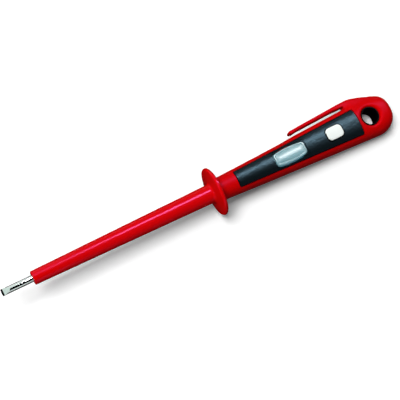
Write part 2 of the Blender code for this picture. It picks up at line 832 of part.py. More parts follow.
clear_scene()
parts = new_collection("voltage_tester_screwdriver")
cutters = new_collection("cutters")
tool_frame = bpy.data.objects.new("tool_frame", None)
parts.objects.link(tool_frame)

nickel = new_material("nickel_plated_steel", (0.62, 0.66, 0.64), 0.22, metallic=1.0)
brass = new_material("brass", (0.66, 0.47, 0.18), 0.30, metallic=1.0)
spring_steel = new_material("spring_steel", (0.45, 0.46, 0.48), 0.30, metallic=1.0)
red_sleeve = new_material("red_sleeve_plastic", (0.58, 0.004, 0.004), 0.22)
red_handle = new_material("red_handle_plastic", (0.58, 0.004, 0.004), 0.25)
red_clip = new_material("red_clip_plastic", (0.58, 0.004, 0.004), 0.25)
black_inlay = new_material("satin_black_plastic", (0.012, 0.020, 0.026), 0.38)
black_liner = new_material("black_liner_plastic", (0.006, 0.005, 0.006), 0.50)
white_button = new_material("white_button_plastic", (0.86, 0.88, 0.85), 0.30)
white_carrier = new_material("white_carrier_plastic", (0.72, 0.74, 0.74), 0.50)
clear_lens = new_material("clear_lens_plastic", (0.85, 0.96, 0.98), 0.08, transmission=0.9)
lamp_glass = new_material("lamp_glass", (0.92, 0.96, 0.97), 0.05, transmission=0.95)
resistor_paint = new_material("resistor_paint", (0.50, 0.33, 0.20), 0.50)

make_blade()
make_sleeve()
make_handle()
make_eye_liner()
make_clip()
make_inlay()
make_lens()
make_button()
make_button_spring()
make_resistor()
make_lamp()
make_contacts()
make_carrier()
lie_down()
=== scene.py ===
# %% [markdown]
# # A voltage tester screwdriver
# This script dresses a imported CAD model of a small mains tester: a flat blade in a red
# insulating sleeve with a round finger guard, and a red handle with a black cover, a window
# over a neon lamp, a white touch button, a pocket clip and an eye to hang it by. The CAD
# model is the fixed frame. Each piece that shows is built again here with finer surfaces, at
# the same sizes, and gets the finish of the real material.

# %% Load the frame
import json
import math

import bmesh
import bpy
import numpy as np
from mathutils import Matrix, Vector


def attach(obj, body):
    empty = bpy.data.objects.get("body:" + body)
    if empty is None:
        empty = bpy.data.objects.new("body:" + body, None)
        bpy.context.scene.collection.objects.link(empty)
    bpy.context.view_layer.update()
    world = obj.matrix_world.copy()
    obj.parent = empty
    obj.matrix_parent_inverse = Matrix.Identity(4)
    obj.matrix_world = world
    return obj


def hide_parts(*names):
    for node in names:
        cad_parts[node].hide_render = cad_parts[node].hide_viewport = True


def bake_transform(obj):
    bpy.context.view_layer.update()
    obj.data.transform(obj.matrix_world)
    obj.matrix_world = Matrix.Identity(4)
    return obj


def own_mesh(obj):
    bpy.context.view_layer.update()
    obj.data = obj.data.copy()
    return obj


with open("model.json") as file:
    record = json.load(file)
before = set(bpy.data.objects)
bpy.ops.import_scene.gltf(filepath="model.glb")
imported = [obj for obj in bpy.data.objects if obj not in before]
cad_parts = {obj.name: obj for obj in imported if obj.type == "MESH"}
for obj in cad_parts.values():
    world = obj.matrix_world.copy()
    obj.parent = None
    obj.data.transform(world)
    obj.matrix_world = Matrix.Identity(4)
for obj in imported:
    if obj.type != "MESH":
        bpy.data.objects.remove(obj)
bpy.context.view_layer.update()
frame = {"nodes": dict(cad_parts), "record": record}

# %% [markdown]
# ## The tool's own frame
# The tool lies on its back, so its axis slopes: the guard holds it up in the middle and the
# handle's end touches the table. It is far easier to model along a straight axis, so every
# piece is made in the tool's frame, in millimetres: X runs from the blade's tip to the eye
# with zero at the middle of the guard, Y points to the clip and Z out of the window. One
# matrix then lays the finished mesh down. Two flat faces of the CAD record say where that
# frame is: the end of the blade and the back of the handle.

# %% The matrix that lays a mesh down
MM = 0.001
tip_reach = 100.0

faces = {mount["name"]: mount for mount in frame["record"]["mounts"]}
along = -Vector(faces["blade_tip"]["axis"])
up = -Vector(faces["handle_back"]["axis"])
across = up.cross(along)
guard_middle = Vector(faces["blade_tip"]["pos_m"]) + along * tip_reach * MM
turn = Matrix((along, across, up)).transposed()
tool = Matrix.Translation(guard_middle) @ turn.to_4x4() @ Matrix.Scale(MM, 4)


def row_point(x, y, z):
    """A point of the tool's frame, in millimetres, as a point of the row frame in metres."""
    return tool @ Vector((x, y, z))


print("The axis slopes by", round(math.degrees(math.asin(-along.z)), 2), "degrees")

# %% [markdown]
# ## Small helpers
# Blender computes with linear light, but colours are easier to pick as the sRGB hex values
# that a screen shows, so one function turns them. Another adds a node with its settings and
# links: an input given as a socket, or as a node for its first output, is linked, and any
# other value is set.

# %% Colour and node helpers
def linear(hex_colour):
    """A hex sRGB colour as linear red, green, blue and alpha."""
    parts = [int(hex_colour[i : i + 2], 16) / 255 for i in (1, 3, 5)]
    return (*[v / 12.92 if v <= 0.04045 else ((v + 0.055) / 1.055) ** 2.4 for v in parts], 1.0)


def set_inputs(tree, node, inputs):
    for key, value in inputs.items():
        if isinstance(value, bpy.types.Node):
            value = value.outputs[0]
        if isinstance(value, bpy.types.NodeSocket):
            tree.links.new(value, node.inputs[key])
        else:
            node.inputs[key].default_value = value


def add_node(tree, kind, inputs=None, **settings):
    node = tree.nodes.new(kind)
    for name, value in settings.items():
        setattr(node, name, value)
    set_inputs(tree, node, inputs or {})
    return node


def new_surface(name, inputs):
    """A material with one Principled shader, and the tree and shader for adding patterns."""
    material = bpy.data.materials.new(name)
    material.use_nodes = True
    tree = material.node_tree
    shader = tree.nodes["Principled BSDF"]
    set_inputs(tree, shader, inputs)
    print("Material:", name)
    return material, tree, shader


# %% Object and number helpers
def add_object(name, data):
    thing = bpy.data.objects.new(name, data)
    bpy.context.scene.collection.objects.link(thing)
    return thing


def taper(x, start_x, end_x, start, end):
    """A value that runs evenly from start to end."""
    return start + (end - start) * (x - start_x) / (end_x - start_x)


# %% [markdown]
# ## The camera
# The photograph looks down on the tool from above its blade end, from about half a metre
# away. The camera's place and turn were worked out from the places of the tip, the guard, the
# window, the button and the eye in the picture. It is written in the tool's frame and turned
# into the row frame by the same matrix as the pieces.

# %% Place the camera
camera_place = (-132.126, -75.145, 486.902)
camera_right = (0.875307, -0.458494, 0.153688)
camera_up = (0.416788, 0.876472, 0.241007)
camera_back = (-0.245204, -0.146900, 0.958277)
pixels_wide = 400
focal_pixels = 1187.0

camera_data = bpy.data.cameras.new("camera")
camera_data.sensor_width = 36.0
camera_data.lens = camera_data.sensor_width * focal_pixels / pixels_wide
camera = add_object("camera", camera_data)
camera_turn = Matrix((camera_right, camera_up, camera_back)).transposed()
camera.matrix_world = Matrix.Translation(row_point(*camera_place)) @ (turn @ camera_turn).to_4x4()
bpy.context.scene.camera = camera
bpy.context.scene.view_settings.view_transform = "Standard"
print("Lens:", round(camera_data.lens, 1), "mm")

# %% [markdown]
# ## Finishes: the red mouldings
# The sleeve, the handle and the clip are glossy red ABS. ABS from a polished mould has a
# smooth skin with a very faint waviness, called orange peel, that makes highlights tremble a
# little. Its colour is even, so only a slow drift of a few per cent is added. The highlights
# in the photograph lean to pink, which the specular tint gives. The handle and the clip are
# duller than the sleeve, as from a less polished mould. A second noise of 0.6 mm stands for
# the skin's grain, which is really finer than the picture can show.

# %% Red ABS
drift_scale, gloss_drift = 45.0, 0.03


def moulded(name, colour, deeper, roughness, level, tint, peel, grain):
    """A moulded plastic; its peel and its grain are given as (size, height) in millimetres."""
    material, tree, shader = new_surface(
        name, {"IOR": 1.5, "Specular IOR Level": level, "Specular Tint": linear(tint)}
    )
    place = add_node(tree, "ShaderNodeTexCoord").outputs["Object"]
    slow = {"Vector": place, "Scale": drift_scale, "Detail": 2.0}
    drift = add_node(tree, "ShaderNodeTexNoise", slow)
    ends = {0: drift, 6: linear(colour), 7: linear(deeper)}
    colours = add_node(tree, "ShaderNodeMix", ends, data_type="RGBA")
    span = {"To Min": roughness - gloss_drift, "To Max": roughness + gloss_drift}
    gloss = add_node(tree, "ShaderNodeMapRange", {"Value": drift, **span})
    relief = {}
    for size, height in (peel, grain):
        fast = {"Vector": place, "Scale": 1 / (size * MM), "Detail": 1.0}
        noise = add_node(tree, "ShaderNodeTexNoise", fast)
        bump = {"Height": noise, "Distance": height * MM, **relief}
        relief = {"Normal": add_node(tree, "ShaderNodeBump", bump)}
    links = {"Base Color": colours.outputs[2], "Roughness": gloss, **relief}
    set_inputs(tree, shader, links)
    return material


pink = "#FF80E1"
fine_grain = (0.6, 0.0005)
red_handle = moulded(
    "red_gloss_abs", "#CE0303", "#C60202", 0.42, 0.06, pink, (3.0, 0.006), fine_grain
)
red_sleeve = moulded(
    "red_gloss_sleeve", "#D60303", "#CE0202", 0.20, 0.29, pink, (2.5, 0.004), fine_grain
)

# %% [markdown]
# ## Keeping the floor free of red glow
# Light that bounces off red plastic tints a white floor, but the floor of the photograph is
# neutral, as product pictures are toned. So a ray that comes from a matt surface meets grey
# plastic here, and all other rays meet red. The object itself looks nearly the same.

# %% Grey for bounced light
glow_grey = "#6A4E4E"


def mute_glow(material):
    tree = material.node_tree
    colour = tree.nodes["Principled BSDF"].inputs["Base Color"]
    bounced = add_node(tree, "ShaderNodeLightPath").outputs["Is Diffuse Ray"]
    ends = {0: bounced, 6: colour.links[0].from_socket, 7: linear(glow_grey)}
    either = add_node(tree, "ShaderNodeMix", ends, data_type="RGBA")
    tree.links.new(either.outputs[2], colour)


for red in (red_handle, red_sleeve):
    mute_glow(red)
    print("Grey for bounced light:", red.name)

# %% [markdown]
# ## Finishes: the cover, the button and the eye's lining
# The cover is black ABS from a spark-eroded mould, which leaves a fine, even grain: it
# spreads the light into a soft, slightly blue sheen. The real grain is about 0.05 mm, too
# fine for a picture of 400 pixels, so it is drawn at 1.6 mm. The button is white polyamide
# with a satin skin, and the eye is lined in dull black. The same dull black is painted shade
# in the handle's trough and on the button's stem. The carrier under the lamp is pale, but it
# is drawn blue-grey as painted shade behind the window. Their grain of 0.4 or 0.5 mm is drawn
# coarser than it is, too.

# %% Black, white and lining plastics
white, cold_white = "#FFFFFF", "#B3E4FF"
black_cover = moulded(
    "satin_black_abs", "#070D0F", "#05090B", 0.40, 0.32, cold_white, (6.0, 0.035), (1.6, 0.12)
)
white_button = moulded(
    "white_satin_polyamide", "#E6EEE9", "#E0E8E3", 0.36, 0.50, white, (4.0, 0.004), (0.4, 0.002)
)
# The dull black is the eye's real lining, and also painted shade in the trough and on the button's
# stem
black_lining_and_shade = moulded(
    "dull_black_plastic_and_painted_shade", "#080507", "#050304", 0.65, 0.06, white, (4.0, 0.006), (0.5, 0.006)
)
# The carrier is drawn blue-grey as painted shade behind the window
carrier_with_painted_shade = moulded(
    "white_carrier_plastic", "#86A3AE", "#7A99A5", 0.45, 0.50, white, (4.0, 0.004), (0.5, 0.004)
)

# %% [markdown]
# ## Finishes: nickel-plated steel
# The blade is tool steel with a bright nickel plate. Its shaft was drawn, so it carries very
# fine lines along its length, and its tip was ground flat across, which leaves lines the
# other way. The lines are noise that is stretched along one axis. On the real blade they are
# a few hundredths of a millimetre apart, and here 0.2 mm or more, so that they show. Nickel
# is slightly warm, but here it mirrors a cold white studio.

# %% Nickel plate
dull_share, bright_share = 1.4, 0.6
along_shaft, across_tip = (0.01, 1.0, 1.0), (1.0, 0.02, 1.0)


def drawn_metal(name, colour, roughness, line_mm, line_height, stretch=along_shaft):
    """A metal with fine lines; stretch is how fast the noise runs along the tool's axes."""
    material, tree, shader = new_surface(name, {"Metallic": 1.0, "Base Color": linear(colour)})
    place = add_node(tree, "ShaderNodeTexCoord").outputs["Object"]
    slope = (0.0, math.asin(along.z), 0.0)
    level = add_node(tree, "ShaderNodeMapping", {"Vector": place, "Rotation": slope})
    pulled = add_node(tree, "ShaderNodeMapping", {"Vector": level, "Scale": stretch})
    thin = {"Vector": pulled, "Scale": 1 / (line_mm * MM), "Detail": 3.0}
    lines = add_node(tree, "ShaderNodeTexNoise", thin)
    span = {"To Min": roughness * bright_share, "To Max": roughness * dull_share}
    gloss = add_node(tree, "ShaderNodeMapRange", {"Value": lines, **span})
    bump = add_node(tree, "ShaderNodeBump", {"Height": lines, "Distance": line_height * MM})
    set_inputs(tree, shader, {"Roughness": gloss, "Normal": bump})
    return material


nickel_shaft = drawn_metal("nickel_plated_shaft", "#DADDDC", 0.09, 0.25, 0.0001)
nickel_ground = drawn_metal("ground_nickel_tip", "#D9E3DE", 0.20, 0.20, 0.002, across_tip)
steel_edge = drawn_metal("blued_steel_edge", "#0A0E0E", 0.35, 0.20, 0.002, across_tip)
brass = drawn_metal("stamped_brass", "#D9B56A", 0.28, 0.30, 0.002)
spring_wire = drawn_metal("drawn_spring_steel", "#B4B7BC", 0.25, 0.20, 0.002)

# %% [markdown]
# ## Finishes: clear plastic and glass
# The window is hazy acrylic over the glass lamp. Its haze hides most of what lies behind, so
# it is drawn as a skin with a soft coat that lets two fifths of the light straight through,
# and only the lamp's glass bends light. A path tracer rarely finds a small lamp through
# glass, so the pieces behind would stay dark. The usual way out is used here: rays that look
# for a lamp pass straight through, and all other rays see the real material.

# %% Clear materials
def see_through(name, colour, inputs):
    """Clear plastic or glass that lets the light of lamps through."""
    material, tree, shader = new_surface(name, {"Base Color": linear(colour), **inputs})
    to_lamp = add_node(tree, "ShaderNodeLightPath").outputs["Is Shadow Ray"]
    open_way = add_node(tree, "ShaderNodeBsdfTransparent", {"Color": linear(colour)})
    both = add_node(tree, "ShaderNodeMixShader", {0: to_lamp, 1: shader, 2: open_way})
    set_inputs(tree, tree.nodes["Material Output"], {"Surface": both})
    return material


glass = {"Roughness": 0.03, "IOR": 1.5, "Transmission Weight": 1.0}
soft_coat = {"Coat Weight": 1.0, "Coat Roughness": 0.48, "Coat IOR": 2.2}
hazy = {"Roughness": 0.36, "IOR": 1.49, "Alpha": 0.6, **soft_coat}
clear_window = see_through("clear_acrylic", "#8AB4BC", hazy)
lamp_tube = see_through("lamp_glass", "#F4FCFF", glass)

# %% [markdown]
# ## Turned pieces with Geometry Nodes
# The sleeve with its guard, the lining of the eye and the bore for the tang are all turned:
# their shape is one outline, swung round an axis. That is a rule, so a small Geometry Nodes
# tree follows it. The object's own mesh is the outline, a row of points whose X is the place
# along the axis and whose Y is the radius. A grid with one row of points for each side takes
# its places from the outline, turned by that side's angle, and its first and last rows are
# then welded.

# %% How each tree starts and ends
def group_with(name, **sizes):
    """A Geometry Nodes group that takes and gives geometry, with the named inputs."""
    tree = bpy.data.node_groups.new(name, "GeometryNodeTree")
    given = [("Geometry", "Geometry"), *sizes.items()]
    sockets = [(socket, kind, "INPUT") for socket, kind in given]
    for socket, kind, way in [*sockets, ("Geometry", "Geometry", "OUTPUT")]:
        tree.interface.new_socket(socket, in_out=way, socket_type="NodeSocket" + kind)
    return tree, add_node(tree, "NodeGroupInput").outputs


def end_tree(tree, geometry, finish):
    real = add_node(tree, "GeometryNodeRealizeInstances", {"Geometry": geometry})
    finished = add_node(tree, "GeometryNodeSetMaterial", {"Geometry": real, "Material": finish})
    add_node(tree, "NodeGroupOutput", {"Geometry": finished})
    print("Nodes in", tree.name + ":", len(tree.nodes))
    return tree


# %% The turning tree
def turning_tree():
    tree, given = group_with("turned_outline", Sides="Int", Weld="Float", Finish="Material")
    outline, sides = given["Geometry"], given["Sides"]
    points = add_node(tree, "GeometryNodeAttributeDomainSize", {0: outline})
    rows = add_node(tree, "ShaderNodeMath", {0: sides, 1: 1.0}, operation="ADD")
    grid = add_node(tree, "GeometryNodeMeshGrid", {"Vertices X": rows, "Vertices Y": points})
    index = add_node(tree, "GeometryNodeInputIndex")
    step = add_node(tree, "ShaderNodeMath", {0: index, 1: points}, operation="MODULO")
    turns = add_node(tree, "ShaderNodeMath", {0: index, 1: points}, operation="DIVIDE")
    side = add_node(tree, "ShaderNodeMath", {0: turns}, operation="FLOOR")
    place = add_node(tree, "GeometryNodeInputPosition")
    wanted = {"Geometry": outline, "Value": place, "Index": step}
    sample = add_node(tree, "GeometryNodeSampleIndex", wanted, data_type="FLOAT_VECTOR")
    parts = add_node(tree, "ShaderNodeSeparateXYZ", {0: sample}).outputs
    share = add_node(tree, "ShaderNodeMath", {0: side, 1: sides}, operation="DIVIDE")
    angle = add_node(tree, "ShaderNodeMath", {0: share, 1: math.tau}, operation="MULTIPLY")
    swung = {"X": parts["X"]}
    for axis, wave in (("Y", "COSINE"), ("Z", "SINE")):
        reach = {0: parts["Y"], 1: add_node(tree, "ShaderNodeMath", {0: angle}, operation=wave)}
        swung[axis] = add_node(tree, "ShaderNodeMath", reach, operation="MULTIPLY")
    turned = add_node(tree, "ShaderNodeCombineXYZ", swung)
    moved = add_node(tree, "GeometryNodeSetPosition", {"Geometry": grid, "Position": turned})
    close = {"Geometry": moved, "Distance": given["Weld"]}
    welded = add_node(tree, "GeometryNodeMergeByDistance", close)
    return end_tree(tree, welded, given["Finish"])


turned_outline = turning_tree()

# %% [markdown]
# ## From a tree or a mesh to a finished piece
# A modifier's inputs are set by their identifiers before the object is first evaluated. The
# result is then copied into a plain mesh, its faces are turned outwards, and the tool's
# matrix lays it down, so that the object itself stays at the origin, unturned and unscaled.

# %% From points or a tree to a plain mesh
weld_reach, cut_weld_reach = 0.0005, 0.0002


def new_piece(name, points, polygons=()):
    mesh = bpy.data.meshes.new(name)
    mesh.from_pydata([tuple(point) for point in points], [], [tuple(face) for face in polygons])
    return add_object(name, mesh)


def settle(piece):
    """Turns the modifiers' result into the object's own plain mesh."""
    graph = bpy.context.evaluated_depsgraph_get()
    mesh = bpy.data.meshes.new_from_object(piece.evaluated_get(graph))
    piece.modifiers.clear()
    piece.data = mesh


def run_tree(piece, tree, **values):
    modifier = piece.modifiers.new(tree.name, "NODES")
    modifier.node_group = tree
    for item in tree.interface.items_tree:
        if item.in_out == "INPUT" and item.name in values:
            modifier[item.identifier] = values[item.name]
    settle(piece)


def close_up(piece, weld=weld_reach):
    """Welds doubled points, drops stray faces and turns all faces outwards."""
    shape = bmesh.new()
    shape.from_mesh(piece.data)
    bmesh.ops.remove_doubles(shape, verts=shape.verts, dist=weld)
    bmesh.ops.dissolve_degenerate(shape, edges=shape.edges, dist=weld)
    bmesh.ops.recalc_face_normals(shape, faces=shape.faces)
    shape.to_mesh(piece.data)
    shape.free()
    return piece


# %% From a plain mesh to a finished piece
netted_sharp, turned_sharp, blade_sharp = 40.0, 35.0, 20.0


def wear(piece, *finishes):
    piece.data.materials.clear()
    for finish in finishes:
        piece.data.materials.append(finish)


def dress(piece, finishes, choose=lambda face: 0, sharp_degrees=netted_sharp):
    """Finishes a piece and lays it down; choose gives the number of a face's finish."""
    wear(piece, *finishes)
    for face in piece.data.polygons:
        face.material_index = int(choose(face))
    piece.data.transform(tool)
    piece.data.shade_smooth()
    piece.data.set_sharp_from_angle(angle=math.radians(sharp_degrees))


def stand_for(piece, body, slot, *nodes):
    """The finished piece moves with a body, and is shown instead of these CAD nodes."""
    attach(piece, body)
    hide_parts(*nodes)
    print(piece.name, "has", len(piece.data.polygons), "faces")


# %% Turned outlines
def turn_outline(name, outline, finish, sides):
    """A turned piece from (place along the axis, radius) points."""
    piece = new_piece(name, [(x, radius, 0.0) for x, radius in outline])
    run_tree(piece, turned_outline, Sides=sides, Weld=weld_reach, Finish=finish)
    return close_up(piece)


def arc(centre_x, centre_radius, radius, start, end, steps):
    """Points of an outline's arc; the angles are in degrees from the axis."""
    angles = [math.radians(start + (end - start) * i / steps) for i in range(steps + 1)]
    turned = [(radius * math.cos(angle), radius * math.sin(angle)) for angle in angles]
    return [(centre_x + x, centre_radius + y) for x, y in turned]

# %% [markdown]
# ## The sleeve and its finger guard
# On the real tool the sleeve is moulded over the blade in one shot with the guard: a gentle
# taper from 6 to 8.4 mm, a small fillet, and a disc of 22 mm with a round rim that keeps the
# fingers off the metal. Behind the guard a hub and a spigot go into the handle.

# %% Turn the sleeve
clearance = 0.3
blade_radius = 1.5
bore_radius = blade_radius + clearance
sleeve_front = -86.0
sleeve_front_radius, sleeve_rear_radius = 3.05, 4.2
sleeve_edge, hub_edge, bore_edge = 0.4, 0.2, 0.1
guard_radius, rim_radius = 11.0, 0.9
hub_half, hub_radius = 1.6, 5.2
spigot_radius, spigot_end = 2.7, 9.9
fillet = 1.2

sleeve_outline = [
    (spigot_end, bore_radius),
    *arc(spigot_end - sleeve_edge, spigot_radius - sleeve_edge, sleeve_edge, 0, 90, 4),
    (hub_half, spigot_radius),
    *arc(hub_half - hub_edge, hub_radius - hub_edge, hub_edge, 0, 60, 4),
    *arc(0.0, guard_radius - rim_radius, rim_radius, 8, 172, 24),
    *arc(-hub_half - fillet, sleeve_rear_radius + fillet, fillet, -5, -90, 12),
    *arc(sleeve_front + sleeve_edge, sleeve_front_radius - sleeve_edge, sleeve_edge, 90, 180, 8),
    *arc(sleeve_front + bore_edge, bore_radius + bore_edge, bore_edge, 180, 270, 3),
    (spigot_end, bore_radius),
]
sleeve = turn_outline("sleeve_and_guard", sleeve_outline, red_sleeve, 160)
dress(sleeve, [red_sleeve], sharp_degrees=turned_sharp)
stand_for(sleeve, "root", "red_sleeve", "insulating_sleeve")

# %% [markdown]
# ## The blade
# The blade is a 3 mm round bar whose end is ground to a flat from both sides. Its last 0.8 mm
# tapers less and is dark, like blued steel. Where a slanting plane meets a round bar the
# ground face ends in a curve. Sections along the bar give exactly that: each is a circle that
# is cut off above and below, and the height of the cut grows along the bar.

# %% Sections of the blade
tip_edge_length, tip_flat_length = 0.8, 3.7
tip_edge_half, tip_flat_half = 0.2, 0.3
tang_end = 13.0
arc_steps, chord_steps, flat_steps = 20, 8, 14
flat_length = tip_flat_length - tip_edge_length
shaft_stops = (-92.0, sleeve_front, -40.0, 0.0, tang_end)
most_sideways, least_upright = 0.05, 0.6


def cut_height(from_tip):
    """How far from the middle plane the ground faces lie."""
    if from_tip <= tip_edge_length:
        return taper(from_tip, 0.0, tip_edge_length, tip_edge_half, tip_flat_half)
    share = (from_tip - tip_edge_length) / flat_length
    return min(blade_radius, tip_flat_half + (blade_radius - tip_flat_half) * share)


def blade_ring(from_tip):
    x, height = from_tip - tip_reach, cut_height(from_tip)
    limit = math.asin(min(1.0, height / blade_radius))
    half_chord = blade_radius * math.cos(limit)
    ring = []
    for side in (1, -1):
        for i in range(arc_steps):
            angle = side * limit * (2 * i / arc_steps - 1)
            ring.append((x, side * blade_radius * math.cos(angle), blade_radius * math.sin(angle)))
        for i in range(chord_steps):
            ring.append((x, side * half_chord * (1 - 2 * i / chord_steps), side * height))
    return ring


def join_rings(rings):
    """Faces between rings of equal length, closed at both ends."""
    count = len(rings[0])
    points = [point for ring in rings for point in ring]
    polygons = [tuple(range(count)), tuple(range(len(points) - 1, len(points) - 1 - count, -1))]
    for r in range(len(rings) - 1):
        for i in range(count):
            j = (i + 1) % count
            a, b = r * count, (r + 1) * count
            polygons.append((a + i, b + i, b + j, a + j))
    return points, polygons


# %% Loft the blade
places = [0.0, tip_edge_length]
places += [tip_edge_length + flat_length * i / flat_steps for i in range(1, flat_steps + 1)]
places += [tip_reach + x for x in shaft_stops]
blade = new_piece("flat_blade", *join_rings([blade_ring(place) for place in places]))
close_up(blade)


def blade_finish(face):
    """The shaft, the ground faces of the tip, or its dark edge."""
    from_tip = face.center.x + tip_reach
    if from_tip < tip_edge_length:
        return 2
    ground = abs(face.normal.y) < most_sideways and abs(face.normal.z) > least_upright
    return from_tip < tip_flat_length and ground


dress(blade, [nickel_shaft, nickel_ground, steel_edge], blade_finish, blade_sharp)
stand_for(blade, "root", "nickel", "blade")

# %% [markdown]
# ## The handle's form as a field
# The handle is a long taper whose section turns from a circle at the nose to a squarer oval
# at the eye. The section is widest a little below its axis, the upper side draws in later at
# the rear than the lower one, and the clip's side is fuller along the slot and at the end.
# The clip grows out of it without an edge, the eye's mouth is rounded, and the back is flat.
# Blends like these are hard to model with separate surfaces. They are easy with a field: a
# function that says how far a point lies outside the form, negative inside. Two fields join
# softly when the smaller one is taken with a rounded corner, and one is cut from another the
# same way. The mesh comes last, as a net over the field's zero.

# %% Sizes of the handle
nose_x, handle_end = 1.9, 89.2
nose_width, eye_width = 10.3, 17.8
nose_depth, eye_depth, depth_blend = 10.0, 12.4, 0.4
end_start, edge_start, brow_start = 79.4, 83.2, 85.4
end_power, clip_side_power = 2.3, 2.6
widest_drop, drop_length = 1.2, 28.0
slot_fullness, fuller_places = 0.25, (34.0, 44.0, 68.0, 74.0)
nose_power, eye_power = 2.0, 2.5
nose_edge, back_flat, back_edge = 0.5, 5.8, 0.25
eye_x, eye_radius, eye_mouth = 77.8, 4.3, 1.8


def soft_min(a, b, reach):
    """The smaller of two fields, with a rounded corner where they are within reach."""
    near = np.maximum(reach - np.abs(a - b), 0.0) / reach
    return np.minimum(a, b) - near * near * reach / 4


def soft_max(a, b, reach):
    return -soft_min(-a, -b, reach)


def eased(share):
    """A share from 0 to 1 that starts and ends gently."""
    return share * share * (3 - 2 * share)


# %% Sections of the handle
def drawn_in(x, start_x, power=end_power):
    """How far the rounded end has drawn in, from 1 where it starts to 0 at the end."""
    share = np.clip((x - start_x) / (handle_end - start_x), 0.0, 1.0)
    return (1 - share**power) ** (1 / power)


def half_width(x):
    return taper(x, nose_x, end_start, nose_width, eye_width) / 2 * drawn_in(x, end_start)


def side_width(x, y):
    """The half width, which is fuller on the clip's side, along the slot and at the end."""
    fuller = np.interp(x, fuller_places, (0.0, slot_fullness, slot_fullness, 0.0))
    end_fuller = drawn_in(x, end_start, clip_side_power) - drawn_in(x, end_start)
    return half_width(x) + (fuller + end_fuller * eye_width / 2) * (y > 0)


def half_depth(x, start_x=edge_start):
    depth = soft_min(taper(x, nose_x, end_start, nose_depth, eye_depth), eye_depth, depth_blend)
    return depth / 2 * drawn_in(x, start_x)


def drop(x):
    """How far below the axis the section is widest, which makes the upper flanks steeper."""
    share = np.clip((x - nose_x) / drop_length, 0.0, 1.0)
    return widest_drop * eased(share) * drawn_in(x, edge_start)


def section_power(x):
    return taper(x, nose_x, handle_end, nose_power, eye_power)


# %% The field of the plain handle
least_half, least_reach = 0.05, 1e-6


def oval_field(y, z, half_y, half_z, power):
    """About how far a point lies outside an oval section."""
    half_y, half_z = np.maximum(half_y, least_half), np.maximum(half_z, least_half)
    a, b = np.abs(y) / half_y, np.abs(z) / half_z
    reach = np.maximum((a**power + b**power) ** (1 / power), least_reach)
    slope_y = (a / reach) ** (power - 1) / half_y
    slope_z = (b / reach) ** (power - 1) / half_z
    return (reach - 1) / np.hypot(slope_y, slope_z)


def plain_handle(p):
    x, y, z = np.moveaxis(p, -1, 0)
    low = drop(x)
    half_z = np.where(z > -low, half_depth(x, brow_start) + low, half_depth(x) - low)
    section = oval_field(y, z + low, side_width(x, y), half_z, section_power(x))
    return np.maximum(section, x - handle_end)


def crown(x, y):
    """The height of the handle's upper side over a point."""
    share = np.clip(1 - np.abs(y / side_width(x, y)) ** section_power(x), 0.0, 1.0)
    low = drop(x)
    return (half_depth(x, brow_start) + low) * share ** (1 / section_power(x)) - low


print("The handle at the eye:", round(2 * float(half_width(eye_x)), 2), "mm wide")

# %% [markdown]
# ## The clip's field
# The clip is an arm 1.55 to 2.1 mm thick that stands 1.2 mm off the handle. At its root it
# thickens into a long shoulder that flows into the eye. Both are one row of oval sections.
# The slot behind the arm ends in a half circle, which keeps the plastic from cracking there:
# that is a second field, taken away from the first.

# %% Sizes of the clip
clip_tip, clip_root = 41.5, 69.7
slot_gap, slot_edge = 1.2, 0.2
seam_x = clip_root - slot_gap / 2
tip_thickness, root_thickness, tip_round = 1.55, 2.1, 1.2
arm_depth, shoulder_depth = 4.6, 8.4
arm_power, core_power, shoulder_power = 3.2, 3.6, 2.5
core_reach, core_share, core_least = 6.9, 0.8, 0.2
shoulder_length, root_blend, power_blend, drop_blend = 14.5, 5.0, 6, 8.0
clip_nose, clip_nose_length, clip_nose_blend = 0.5, 4.0, 3.0
# Along the shoulder, how high its outer side still stands and how far it has deepened
shoulder_shares = np.array((0.00, 0.12, 0.28, 0.46, 0.66, 0.84, 1.00, 1.15))
height_shares = np.array((1.00, 1.03, 1.01, 0.84, 0.55, 0.20, -0.12, -0.95))
depth_shares = np.array((0.00, 0.25, 0.60, 0.90, 1.00, 0.90, 0.80, 0.70))


def slot_side(x):
    return half_width(x) + slot_gap


def arm_outside(x):
    return slot_side(x) + taper(x, clip_tip, clip_root, tip_thickness, root_thickness)


# %% The row of sections along the clip
arm_overrun, arm_stop, arm_sections = 1.0, 2.0, 8
arm_places = np.linspace(clip_tip - arm_overrun, clip_root - arm_stop, arm_sections)
shoulder_low = half_width(clip_root + shoulder_length)
shoulder_out = taper(height_shares, 0, 1, shoulder_low, arm_outside(clip_root))
shoulder_half = taper(depth_shares, 0, 1, arm_depth / 2, shoulder_depth / 2)
clip_x = np.concatenate([arm_places, clip_root + shoulder_shares * shoulder_length])
clip_outside = np.concatenate([arm_outside(arm_places), shoulder_out])
clip_half_depth = np.concatenate([np.full(len(arm_places), arm_depth / 2), shoulder_half])
print("Sections along the clip:", len(clip_x))


def flow(x, known):
    """A smooth curve through values that are known at the clip's sections."""
    slopes = np.gradient(known, clip_x)
    i = np.clip(np.searchsorted(clip_x, x) - 1, 0, len(clip_x) - 2)
    step = clip_x[i + 1] - clip_x[i]
    t = np.clip((x - clip_x[i]) / step, 0.0, 1.0)
    start = known[i] + slopes[i] * step * t
    end = known[i + 1] - slopes[i + 1] * step * (1 - t)
    ease = eased(t)
    return start * (1 - ease) + end * ease


# %% The field of the clip
def slot_field(x, y):
    """The slot behind the arm, with its round end."""
    slot_middle = half_width(x) + slot_gap / 2
    round_end = np.hypot(np.maximum(x - seam_x, 0.0), y - slot_middle) - slot_gap / 2
    return np.minimum(round_end, np.maximum(x - seam_x, y - slot_middle))


